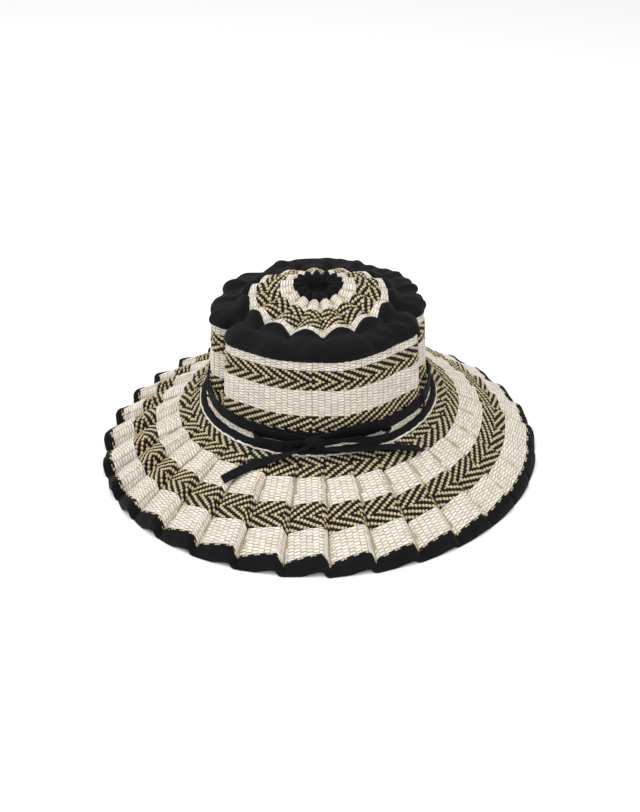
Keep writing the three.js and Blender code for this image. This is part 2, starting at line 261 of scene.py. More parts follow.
def smooth_path(points: np.ndarray, steps: int, closed: bool = False) -> np.ndarray:
    """Return even steps along a centripetal spline through points.

    Args:
        points: The points that the curve goes through.
        steps: Steps between each two points.
        closed: Whether the last point leads back to the first.

    Returns:
        The curve's points, from the first to the last.
    """
    if closed:
        ring = np.vstack([points[-1:], points, points[:2]])
    else:
        ring = np.vstack([2 * points[:1] - points[1:2], points, 2 * points[-1:] - points[-2:-1]])
    gaps = np.sqrt(np.maximum(np.linalg.norm(np.diff(ring, axis=0), axis=1), 1e-6))
    made = []
    for i in range(1, len(ring) - 2):
        before, here, after = gaps[i - 1], gaps[i], gaps[i + 1]
        p0, p1, p2, p3 = ring[i - 1 : i + 3]
        start = here * ((p1 - p0) / before - (p2 - p0) / (before + here) + (p2 - p1) / here)
        end = here * ((p2 - p1) / here - (p3 - p1) / (here + after) + (p3 - p2) / after)
        t = (np.arange(steps) / steps)[:, None]
        curve = (2 * t**3 - 3 * t**2 + 1) * p1 + (t**3 - 2 * t**2 + t) * start
        made.append(curve + (3 * t**2 - 2 * t**3) * p2 + (t**3 - t**2) * end)
    if not closed:
        made.append(points[-1:])
    return np.vstack(made)


@dataclass(frozen=True)
class Ripple:
    """Smooth seeded unevenness that closes on itself round the hat."""

    seed: int
    lowest: int
    highest: int
    count: int = 9
    slant: float = 2.0

    def at(self, turn: np.ndarray, across: np.ndarray = 0.0) -> np.ndarray:
        """Return the unevenness at turns and places across, about -1 to 1.

        Args:
            turn: Turns, in degrees.
            across: Places across, which shift the waves.

        Returns:
            One value or point for each place.
        """
        rng = np.random.default_rng(self.seed)
        waves = rng.integers(self.lowest, self.highest + 1, self.count)
        slants = rng.uniform(-self.slant, self.slant, self.count)
        starts = rng.uniform(0, 2 * np.pi, self.count)
        angle = np.radians(turn)
        total = sum(np.cos(n * angle + s * across + p) for n, s, p in zip(waves, slants, starts))
        return total / math.sqrt(self.count)


# Nodes written as sums


class Wire:
    """An output socket of a node. Arithmetic on it adds Math nodes."""

    def __init__(self, graph: "Graph", socket: bpy.types.NodeSocket) -> None:
        """Keep the socket and the graph that it belongs to."""
        self.graph = graph
        self.socket = socket

    def math(self, operation: str, *others: object, first: object = None) -> "Wire":
        """Add a Math node on this wire and the others, or on first and this wire.

        Args:
            operation: The Math node's operation.
            *others: The values after this wire.
            first: A value that goes before this wire instead.

        Returns:
            The node's output.
        """
        values = [self, *others] if first is None else [first, self]
        settings = {"operation": operation}
        return self.graph.wire("ShaderNodeMath", 0, settings, dict(enumerate(values)))

    def __add__(self, other: object) -> "Wire":
        """Add a value."""
        return self.math("ADD", other)

    __radd__ = __add__

    def __sub__(self, other: object) -> "Wire":
        """Take a value away."""
        return self.math("SUBTRACT", other)

    def __rsub__(self, other: object) -> "Wire":
        """Take this from a value."""
        return self.math("SUBTRACT", first=other)

    def __mul__(self, other: object) -> "Wire":
        """Multiply by a value."""
        return self.math("MULTIPLY", other)

    __rmul__ = __mul__

    def __truediv__(self, other: object) -> "Wire":
        """Divide by a value."""
        return self.math("DIVIDE", other)

    def __pow__(self, other: object) -> "Wire":
        """Raise to a power."""
        return self.math("POWER", other)

    def __mod__(self, other: object) -> "Wire":
        """Leave the remainder, never below 0."""
        return self.math("FLOORED_MODULO", other)

    def __lt__(self, other: object) -> "Wire":
        """Give 1 where this is less."""
        return self.math("LESS_THAN", other)

    def floor(self) -> "Wire":
        """Round down."""
        return self.math("FLOOR")

    def size(self) -> "Wire":
        """Drop the sign."""
        return self.math("ABSOLUTE")

    def sine(self) -> "Wire":
        """Take the sine."""
        return self.math("SINE")

    def ramp(self, low: float, high: float) -> "Wire":
        """Rise smoothly from 0 at low to 1 at high.

        Args:
            low: Where it starts.
            high: Where it ends.

        Returns:
            The ramp's output.
        """
        settings = {"interpolation_type": "SMOOTHSTEP"}
        values = {"Value": self, "From Min": low, "From Max": high}
        return self.graph.wire("ShaderNodeMapRange", 0, settings, values)


class Graph:
    """A node tree and the one way that nodes are added to it."""

    def __init__(self, tree: bpy.types.NodeTree) -> None:
        """Keep the tree."""
        self.tree = tree

    def node(self, kind: str, settings: dict = None, values: dict = None) -> bpy.types.Node:
        """Add a node.

        Args:
            kind: The node's type.
            settings: Properties, set first.
            values: Numbers, colours or wires for input sockets, by name or place.

        Returns:
            The new node.
        """
        made = self.tree.nodes.new(kind)
        for name, value in (settings or {}).items():
            setattr(made, name, value)
        for key, value in (values or {}).items():
            if isinstance(value, Wire):
                self.tree.links.new(value.socket, made.inputs[key])
            else:
                made.inputs[key].default_value = value
        return made

    def wire(self, kind: str, output: object, settings: dict = None, values: dict = None) -> Wire:
        """Add a node and return the wire from one of its outputs."""
        return Wire(self, self.node(kind, settings, values).outputs[output])

    def attribute(self, name: str) -> Wire:
        """Read a number that the mesh holds at its points."""
        return self.wire("ShaderNodeAttribute", "Fac", {"attribute_name": name})

    def mix(self, way: object, a: object, b: object, blend: str = "MIX") -> Wire:
        """Mix two colours by a wire or a number."""
        settings = {"data_type": "RGBA", "blend_type": blend}
        return self.wire("ShaderNodeMix", 2, settings, {0: way, 6: a, 7: b})

    def scaled(self, vector: Wire, by: tuple) -> Wire:
        """Multiply a vector part by part."""
        return self.wire("ShaderNodeVectorMath", 0, {"operation": "MULTIPLY"}, {0: vector, 1: by})

    def noise(self, vector: Wire, scale: float, detail: float = 2.0) -> Wire:
        """Sample smooth noise, about 0 to 1."""
        values = {"Vector": vector, "Scale": scale, "Detail": detail}
        return self.wire("ShaderNodeTexNoise", 0, None, values)

    def parts(self, vector: Wire) -> list:
        """Split a vector into three wires."""
        split = self.node("ShaderNodeSeparateXYZ", values={0: vector})
        return [Wire(self, socket) for socket in split.outputs]


Colour = tuple[float, float, float, float]


def surface_graph(name: str) -> tuple[bpy.types.Material, Graph, bpy.types.Node]:
    """Start a material with its surface shader.

    Args:
        name: The material's name.

    Returns:
        The material, its graph and the shader node.
    """
    material = bpy.data.materials.new(name)
    material.use_nodes = True
    shader = material.node_tree.nodes["Principled BSDF"]
    return material, Graph(material.node_tree), shader


def connect(graph: Graph, shader: bpy.types.Node, wires: dict) -> None:
    """Join wires to the named sockets of a shader."""
    for name, wire in wires.items():
        graph.tree.links.new(wire.socket, shader.inputs[name])


@dataclass(frozen=True)
class StrandFinish:
    """Dyed or plain palm strand: fibres along it, with painted shade where it dips under its
    neighbours.
    """

    name: str
    colour: Colour
    # Painted shade: the colour that a float takes at its sunk edges, where it dips under its
    # neighbours.
    dip_shade: Colour
    fleck: Colour
    flecks: float
    fibre_scale: tuple[float, float, float]
    roughness: float
    specular: float = 0.35

    def make(self) -> bpy.types.Material:
        """Make the material.

        Returns:
            The material.
        """
        material, graph, shader = surface_graph(self.name)
        cloth = graph.wire("ShaderNodeUVMap", 0, {"uv_map": "Cloth"})
        lift = graph.attribute("lift")
        tone = graph.attribute("tone")
        fibres = graph.noise(graph.scaled(cloth, self.fibre_scale), 1.0, 3.0)
        blotch = graph.noise(graph.scaled(cloth, (0.09, 0.09, 0.09)), 1.0, 2.0)
        # Painted shade: the colour darkens towards the dip colour where the float's dome is low.
        body = graph.mix(lift.ramp(0.08, 0.8), self.dip_shade, self.colour)
        flecked = graph.mix(tone.ramp(1 - self.flecks, 1.02) * 0.8, body, self.fleck)
        shade = tone * 0.1 + fibres * 0.16 + blotch * 0.1 + 0.79
        grey = graph.wire("ShaderNodeCombineXYZ", 0, None, {0: shade, 1: shade, 2: shade})
        colour = graph.mix(1.0, flecked, grey, "MULTIPLY")
        bump = {"Strength": 0.5, "Distance": 0.00012, "Height": fibres}
        normal = graph.wire("ShaderNodeBump", "Normal", None, bump)
        rough = self.roughness + fibres * 0.14 - 0.07
        connect(graph, shader, {"Base Color": colour, "Roughness": rough, "Normal": normal})
        shader.inputs["Specular IOR Level"].default_value = self.specular
        return material


@dataclass(frozen=True)
class GroundFinish:
    """The cloth under the floats and its inner face, with the same weave worked out from its rows. Its
    gaps, and the face under the floats, take painted shade mixed with the warp's own tan.
    """

    name: str
    cream: Colour
    straw: Colour
    black: Colour
    # Painted shade for the weave's gaps, partly the warp's own tan; the face under the floats takes it
    # too.
    deep: Colour
    roughness: float = 0.75

    def make(self) -> bpy.types.Material:
        """Make the material.

        Returns:
            The material.
        """
        material, graph, shader = surface_graph(self.name)
        warp, row, _ = graph.parts(graph.wire("ShaderNodeUVMap", 0, {"uv_map": "Weave"}))
        herring = graph.attribute("herring").ramp(0.45, 0.55)
        middle = graph.attribute("middle")
        lean = graph.attribute("lean")
        rib = (warp / 2).floor()
        rib_x = (warp / 2 - rib) * 2 - 1
        rib_y = (row + rib % 2) % 2 - 1
        cell_x = (warp - warp.floor()) * 2 - 1
        cell_y = (row - row.floor()) * 2 - 1
        steps = warp.floor() - lean * (row.floor() - middle).size()
        is_black = steps % 4 < 2
        rib_lift = (1 - rib_x**4) * (1 - rib_y**4)
        cell_lift = (1 - cell_x**4) * (1 - cell_y**4)
        lift = rib_lift * (1 - herring) + cell_lift * herring
        twill = graph.mix(is_black, self.straw, self.black)
        faced = graph.mix(herring, self.cream, twill)
        # Painted shade: the inner face's weave darkens towards the deep colour in the gaps between its
        # floats.
        gap_shaded = graph.mix(lift.ramp(0.0, 0.7), self.deep, faced)
        # The face under the floats: the deep colour under the ribs, partly painted shade for the gaps,
        # and black under the herringbone.
        under = graph.mix(herring, self.deep, self.black)
        colour = graph.mix(graph.attribute("covered"), gap_shaded, under)
        bump = {"Strength": 0.8, "Distance": 0.0006, "Height": lift}
        normal = graph.wire("ShaderNodeBump", "Normal", None, bump)
        connect(graph, shader, {"Base Color": colour, "Normal": normal})
        shader.inputs["Roughness"].default_value = self.roughness
        return material


@dataclass(frozen=True)
class CottonFinish:
    """Matte plain-woven cotton with a faint bloom, soft mottling and a little lint."""

    name: str
    colour: Colour
    worn: Colour
    lint: Colour
    thread: float = 0.42
    sheen: float = 0.02
    specular: float = 0.1
    roughness: float = 0.86

    def make(self) -> bpy.types.Material:
        """Make the material.

        Returns:
            The material.
        """
        material, graph, shader = surface_graph(self.name)
        cloth = graph.wire("ShaderNodeUVMap", 0, {"uv_map": "Cloth"})
        place = graph.wire("ShaderNodeTexCoord", "Object")
        across, along, _ = graph.parts(cloth)
        turns = 2 * math.pi / self.thread
        weave = (across * turns).sine() * (along * turns).sine()
        mottle = graph.noise(place, 55.0, 3.0)
        fluff = graph.noise(graph.scaled(cloth, (1.9, 0.7, 1.0)), 1.0, 1.0)
        worn = graph.mix(mottle.ramp(0.35, 0.75), self.colour, self.worn)
        colour = graph.mix(fluff.ramp(0.8, 0.86) * 0.5, worn, self.lint)
        height = weave * 0.35 + mottle * 1.2
        bump = {"Strength": 0.5, "Distance": 0.00018, "Height": height}
        normal = graph.wire("ShaderNodeBump", "Normal", None, bump)
        rough = self.roughness + mottle * 0.1 - 0.05
        connect(graph, shader, {"Base Color": colour, "Roughness": rough, "Normal": normal})
        shader.inputs["Sheen Weight"].default_value = self.sheen
        shader.inputs["Sheen Roughness"].default_value = 0.5
        shader.inputs["Specular IOR Level"].default_value = self.specular
        return material


@dataclass(frozen=True)
class FloorFinish:
    """Plain pale studio floor."""

    name: str = "studio_floor"
    colour: Colour = (0.86, 0.86, 0.86, 1.0)

    def make(self) -> bpy.types.Material:
        """Make the material.

        Returns:
            The material.
        """
        material, graph, shader = surface_graph(self.name)
        place = graph.wire("ShaderNodeTexCoord", "Object")
        grain = graph.noise(place, 30.0, 2.0)
        rough = grain * 0.1 + 0.8
        connect(graph, shader, {"Roughness": rough})
        shader.inputs["Base Color"].default_value = self.colour
        shader.inputs["Specular IOR Level"].default_value = 0.1
        return material


class Slot(Enum):
    """The record's material slots."""

    STRAW = "woven_straw"
    COTTON = "black_cotton"


# Meshes


def stored_mesh(name: str, points: np.ndarray, faces: np.ndarray) -> bpy.types.Mesh:
    """Make a mesh of quads.

    Args:
        name: The mesh's name.
        points: Its points, in millimetres.
        faces: Four point numbers for each face.

    Returns:
        The mesh, in metres.
    """
    mesh = bpy.data.meshes.new(name)
    mesh.vertices.add(len(points))
    mesh.vertices.foreach_set("co", (points * METRES).astype(np.float32).ravel())
    mesh.loops.add(faces.size)
    mesh.loops.foreach_set("vertex_index", faces.astype(np.int32).ravel())
    mesh.polygons.add(len(faces))
    mesh.polygons.foreach_set("loop_start", np.arange(0, faces.size, 4, dtype=np.int32))
    mesh.update(calc_edges=True)
    return mesh


def set_uv(mesh: bpy.types.Mesh, name: str, places: np.ndarray) -> None:
    """Store a UV map, one place for each corner of a face."""
    layer = mesh.uv_layers.new(name=name)
    layer.uv.foreach_set("vector", places.astype(np.float32).ravel())


def set_number(mesh: bpy.types.Mesh, name: str, values: np.ndarray) -> None:
    """Store a number at each point."""
    layer = mesh.attributes.new(name, "FLOAT", "POINT")
    layer.data.foreach_set("value", values.astype(np.float32).ravel())


def volume(mesh: bpy.types.Mesh) -> float:
    """Return the signed volume inside a closed mesh, below 0 where its faces point inwards.

    Args:
        mesh: The mesh.

    Returns:
        Cubic metres.
    """
    mesh.calc_loop_triangles()
    corners = np.empty(len(mesh.loop_triangles) * 3, dtype=np.int32)
    mesh.loop_triangles.foreach_get("vertices", corners)
    places = np.empty(len(mesh.vertices) * 3, dtype=np.float32)
    mesh.vertices.foreach_get("co", places)
    a, b, c = places.reshape(-1, 3)[corners.reshape(-1, 3)].transpose(1, 0, 2).astype(float)
    return float(np.einsum("ij,ij->i", a, np.cross(b, c)).sum() / 6)


def spacing(points: np.ndarray, axis: int, closed: bool) -> np.ndarray:
    """Return the mean distance walked along one direction of a lattice, from 0 on.

    Args:
        points: The grid's points, columns first.
        axis: 0 to walk from column to column, 1 from row to row.
        closed: Whether the last place leads back to the first.

    Returns:
        The distance at each line of the lattice.
    """
    ahead = np.roll(points, -1, axis) if closed else np.take(points, range(1, points.shape[axis]), axis)
    here = points if closed else np.take(points, range(points.shape[axis] - 1), axis)
    steps = np.linalg.norm(ahead - here, axis=2).mean(axis=1 - axis)
    return np.concatenate([[0.0], np.cumsum(steps)])


@dataclass
class Lattice:
    """A grid of points, columns first, that becomes one closed skin."""

    points: np.ndarray
    closed_round: bool = True
    numbers: dict = field(default_factory=dict)
    weave: np.ndarray = None
    merged: bool = False

    def corner_numbers(self) -> tuple[np.ndarray, np.ndarray]:
        """Return the column and row of each face's four corners, not wrapped.

        Returns:
            The columns and the rows, four for each face.
        """
        columns, rows = self.points.shape[:2]
        last = columns if self.closed_round else columns - 1
        i, j = np.meshgrid(np.arange(last), np.arange(rows), indexing="ij")
        i, j = i.ravel(), j.ravel()
        return np.stack([i, i + 1, i + 1, i], 1), np.stack([j, j, j + 1, j + 1], 1)

    def mesh(self, name: str) -> bpy.types.Mesh:
        """Make the skin, with its faces outwards and its cloth and weave maps.

        Args:
            name: The mesh's name.

        Returns:
            The mesh, in metres.
        """
        columns, rows = self.points.shape[:2]
        i, j = self.corner_numbers()
        faces = (i % columns) * rows + j % rows
        made = stored_mesh(name, self.points.reshape(-1, 3), faces)
        walked = spacing(self.points, 0, self.closed_round)
        crossed = spacing(self.points, 1, True)
        set_uv(made, "Cloth", np.stack([walked[i], crossed[j]], -1))
        if self.weave is not None:
            set_uv(made, "Weave", self.weave[np.minimum(i, columns), j % rows])
            set_uv(made, "OFBake", np.stack([i / columns, j / rows], -1))
        for key, values in self.numbers.items():
            set_number(made, key, values)
        if self.merged or not self.closed_round:
            self.close(made)
        if volume(made) < 0:
            made.flip_normals()
        made.polygons.foreach_set("use_smooth", np.ones(len(made.polygons), dtype=bool))
        return made

    def close(self, made: bpy.types.Mesh) -> None:
        """Merge points that meet at a pole, and close what is still open.

        Args:
            made: The mesh.
        """
        shape = bmesh.new()
        shape.from_mesh(made)
        bmesh.ops.remove_doubles(shape, verts=shape.verts, dist=1e-6)
        edges = [edge for edge in shape.edges if edge.is_boundary]
        bmesh.ops.holes_fill(shape, edges=edges, sides=0)
        shape.to_mesh(made)
        shape.free()


def sheet_normals(points: np.ndarray, closed_round: bool = True) -> np.ndarray:
    """Return unit normals of a grid of points, columns first.

    Args:
        points: The grid's points, columns first.
        closed_round: Whether the last column leads back to the first.

    Returns:
        One normal for each point.
    """
    if closed_round:
        across = np.roll(points, -1, 0) - np.roll(points, 1, 0)
    else:
        across = np.gradient(points, axis=0)
    normals = np.cross(across, np.gradient(points, axis=1))
    size = np.linalg.norm(normals, axis=-1, keepdims=True)
    return np.where(size > 1e-9, normals / np.maximum(size, 1e-9), (0.0, 0.0, 1.0))


def walled(face: np.ndarray, thickness: float, inside: int = None) -> np.ndarray:
    """Give a round sheet a wall.

    Args:
        face: The outer face's points, columns first.
        thickness: The wall, along the normals. Below 0 it goes the other way.
        inside: Rows of the inner face, fewer than the outer one's where it isn't seen.

    Returns:
        Points of the closed section, columns first.
    """
    back = face - thickness * sheet_normals(face)
    rows = face.shape[1]
    kept = np.linspace(rows - 1, 0, inside or rows).round().astype(int)
    return np.concatenate([face, back[:, kept]], axis=1)


@dataclass(frozen=True)
class Dresser:
    """Turns meshes into pieces that ride on the hat's body."""

    body: str

    def add(
        self,
        mesh: bpy.types.Mesh,
        finish: bpy.types.Material,
        slot: Slot,
        nodes: Iterable[str] = (),
    ) -> bpy.types.Object:
        """Add a piece to the scene.

        Args:
            mesh: The piece's mesh, named as the piece.
            finish: Its material.
            slot: The record's material slot. Not used.
            nodes: The plain solids that it stands for.

        Returns:
            The piece's object.
        """
        piece = bpy.data.objects.new(mesh.name, mesh)
        bpy.context.scene.collection.objects.link(piece)
        mesh.materials.clear()
        mesh.materials.append(finish)
        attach(piece, self.body)
        if nodes:
            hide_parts(*nodes)
        LOG.info("%s: %d faces", piece.name, len(mesh.polygons))
        return piece


# Weave


class Weave(Enum):
    """How a band of the cloth is woven."""

    RIB = "rib"
    HERRINGBONE = "herringbone"


class Yarn(Enum):
    """The strands that lie on top."""

    CREAM = "cream"
    BLACK = "black"
    STRAW = "straw"


class Band(NamedTuple):
    """A band of rows. A herringbone turns back at its middle row and leans one way."""

    weave: Weave
    first: float
    last: float
    middle: int = 0
    lean: int = 1

    def is_black(self, warp: int, row: int) -> bool:
        """Tell whether the black strand lies on top here."""
        return (warp - self.lean * abs(row - self.middle)) % 4 < 2


RIB_LENGTH = 1.75  # rows


class Float(NamedTuple):
    """A strand's float on the flat cloth, in warps and rows."""

    warp: float
    row: float
    half_warp: float
    half_row: float


def runs(flags: Sequence[bool]) -> list[tuple[int, int]]:
    """Return where each run of true flags starts and stops."""
    edges = np.flatnonzero(np.diff(np.concatenate([[0], np.asarray(flags, dtype=int), [0]])))
    return list(zip(edges[::2], edges[1::2]))


def rib_floats(band: Band, warps: range) -> list[Float]:
    """Return the floats of a ribbed band, two warps wide, staggered rib by rib.

    Args:
        band: The band.
        warps: The warps that can show.

    Returns:
        The floats.
    """
    made = []
    for rib in range(warps.start // 2, -(-warps.stop // 2)):
        low, high = max(2 * rib, warps.start), min(2 * rib + 2, warps.stop)
        first = band.first - RIB_LENGTH * (rib % 2) / 2
        for row in np.arange(first, band.last, RIB_LENGTH):
            start, stop = max(row, band.first), min(row + RIB_LENGTH, band.last)
            if stop - start > 0.6:
                spot = ((low + high) / 2, (start + stop) / 2, (high - low) / 2, (stop - start) / 2)
                made.append(Float(*spot))
    return made


def black_floats(band: Band, warps: range) -> list[Float]:
    """Return the black floats of a herringbone, each over two warps in one row.

    Args:
        band: The band.
        warps: The warps that can show.

    Returns:
        The floats.
    """
    made = []
    for row in range(math.floor(band.first), math.ceil(band.last)):
        for start, stop in runs([band.is_black(warp, row) for warp in warps]):
            middle = warps.start + (start + stop) / 2
            made.append(Float(middle, row + 0.5, (stop - start) / 2, 0.5))
    return made


def straw_floats(band: Band, warps: range) -> list[Float]:
    """Return the straw floats of a herringbone, each one warp wide over the rows between blacks.

    Args:
        band: The band.
        warps: The warps that can show.

    Returns:
        The floats.
    """
    made = []
    rows = range(math.floor(band.first), math.ceil(band.last))
    for warp in warps:
        for start, stop in runs([not band.is_black(warp, row) for row in rows]):
            middle = rows.start + (start + stop) / 2
            made.append(Float(warp + 0.5, middle, 0.5, (stop - start) / 2))
    return made


def floats_of(yarn: Yarn, bands: Sequence[Band], warps: range) -> list[Float]:
    """Return one yarn's floats over a panel's warps.

    Args:
        yarn: The yarn.
        bands: The cloth's bands.
        warps: The warps that can show.

    Returns:
        The floats.
    """
    makers = {
        Yarn.CREAM: (Weave.RIB, rib_floats),
        Yarn.BLACK: (Weave.HERRINGBONE, black_floats),
        Yarn.STRAW: (Weave.HERRINGBONE, straw_floats),
    }
    weave, maker = makers[yarn]
    return [spot for band in bands if band.weave is weave for spot in maker(band, warps)]


class FloatTree:
    """Geometry nodes that put a domed strand float on each point of the flat cloth."""

    spread_power = 0.45

    def __init__(self) -> None:
        """Build the tree with its named inputs."""
        tree = bpy.data.node_groups.new("strand_floats", "GeometryNodeTree")
        sockets = {
            "Points": "NodeSocketGeometry",
            "Columns": "NodeSocketInt",
            "Rows": "NodeSocketInt",
            "Blunt Ends": "NodeSocketFloat",
            "Blunt Sides": "NodeSocketFloat",
            "Finish": "NodeSocketMaterial",
        }
        self.inputs = {}
        for name, kind in sockets.items():
            socket = tree.interface.new_socket(name=name, in_out="INPUT", socket_type=kind)
            self.inputs[name] = socket.identifier
        tree.interface.new_socket(name="Floats", in_out="OUTPUT", socket_type="NodeSocketGeometry")
        self.tree = tree
        self.lay_nodes(Graph(tree))

    def number(self, graph: Graph, name: str) -> Wire:
        """Read a number stored at the points."""
        settings = {"data_type": "FLOAT"}
        return graph.wire("GeometryNodeInputNamedAttribute", "Attribute", settings, {"Name": name})

    def spread(self, place: Wire) -> Wire:
        """Push a grid's inner lines out towards its edges, so that a float is blunt."""
        return place.math("SIGN") * place.size() ** self.spread_power

    def lay_nodes(self, graph: Graph) -> None:
        """Add the nodes, from the grid to the output.

        Args:
            graph: The tree's graph.
        """
        given = graph.node("NodeGroupInput")
        wires = {name: Wire(graph, given.outputs[name]) for name in self.inputs}
        place = graph.wire("GeometryNodeInputPosition", "Position")
        x, y, _ = (self.spread(part) for part in graph.parts(place))
        dome = (1 - (x * x) ** wires["Blunt Ends"]) * (1 - (y * y) ** wires["Blunt Sides"])
        flat = graph.wire("ShaderNodeCombineXYZ", 0, None, {0: x, 1: y, 2: dome})
        size = {"Size X": 2.0, "Size Y": 2.0}
        cells = {"Vertices X": wires["Columns"], "Vertices Y": wires["Rows"]}
        grid = graph.wire("GeometryNodeMeshGrid", "Mesh", None, {**size, **cells})
        lifted = {"data_type": "FLOAT", "domain": "POINT"}
        values = {"Geometry": grid, "Name": "lift", "Value": dome}
        kept = graph.wire("GeometryNodeStoreNamedAttribute", "Geometry", lifted, values)
        values = {"Geometry": kept, "Position": flat}
        domed = graph.wire("GeometryNodeSetPosition", 0, None, values)
        spin = graph.wire("ShaderNodeCombineXYZ", 0, None, {2: self.number(graph, "turn")})
        sizes = [self.number(graph, name) for name in ("half_x", "half_y", "crown")]
        scale = graph.wire("ShaderNodeCombineXYZ", 0, None, dict(enumerate(sizes)))
        values = {"Points": wires["Points"], "Instance": domed, "Rotation": spin, "Scale": scale}
        laid = graph.wire("GeometryNodeInstanceOnPoints", 0, None, values)
        real = graph.wire("GeometryNodeRealizeInstances", 0, None, {0: laid})
        values = {"Geometry": real, "Material": wires["Finish"]}
        dressed = graph.wire("GeometryNodeSetMaterial", 0, None, values)
        graph.node("NodeGroupOutput", values={0: dressed})

    def grow(self, points: bpy.types.Mesh, settings: dict) -> bpy.types.Mesh:
        """Put the floats on a mesh of points.

        Args:
            points: The points, with their numbers.
            settings: Values of the tree's inputs, by name.

        Returns:
            The floats as one plain mesh.
        """
        holder = bpy.data.objects.new(points.name, points)
        bpy.context.scene.collection.objects.link(holder)
        modifier = holder.modifiers.new("floats", "NODES")
        modifier.node_group = self.tree
        for name, value in settings.items():
            modifier[self.inputs[name]] = value
        depsgraph = bpy.context.evaluated_depsgraph_get()
        seen = holder.evaluated_get(depsgraph)
        made = bpy.data.meshes.new_from_object(
            seen, preserve_all_data_layers=True, depsgraph=depsgraph
        )
        holder.modifiers.remove(modifier)
        bpy.data.objects.remove(holder)
        return made


class StrandLook(NamedTuple):
    """How one yarn's floats are shaped, in millimetres and shares of their cell."""

    crown: float
    fill_x: float
    fill_y: float
    columns: int
    rows: int
    blunt_ends: float
    blunt_sides: float


STRANDS = {
    Yarn.CREAM: StrandLook(1.0, 1.2, 0.94, 4, 4, 5.0, 1.1),
    Yarn.BLACK: StrandLook(0.9, 1.04, 1.1, 4, 4, 2.6, 2.2),
    Yarn.STRAW: StrandLook(1.05, 1.02, 1.0, 4, 4, 2.8, 2.4),
}
FLOAT_SINK = 0.25
SHOWN_SHARE = 0.45  # a float that shows less of itself than this is left out
PANEL_STEP = 1000.0
PANEL_BACK = 45.0
PANEL_LENGTH = 110.0
WALL_LENGTH = 600.0
LENGTH_SPARE = 50.0
ROWS_BEFORE = 1.5


class Unevenness(NamedTuple):
    """How much the floats differ: shares of their sizes, radians, and millimetres of place."""

    wide: float = 0.045
    long: float = 0.05
    crown: float = 0.12
    turn: float = 0.035
    along: float = 0.12
    across: float = 0.09


UNEVEN = Unevenness()


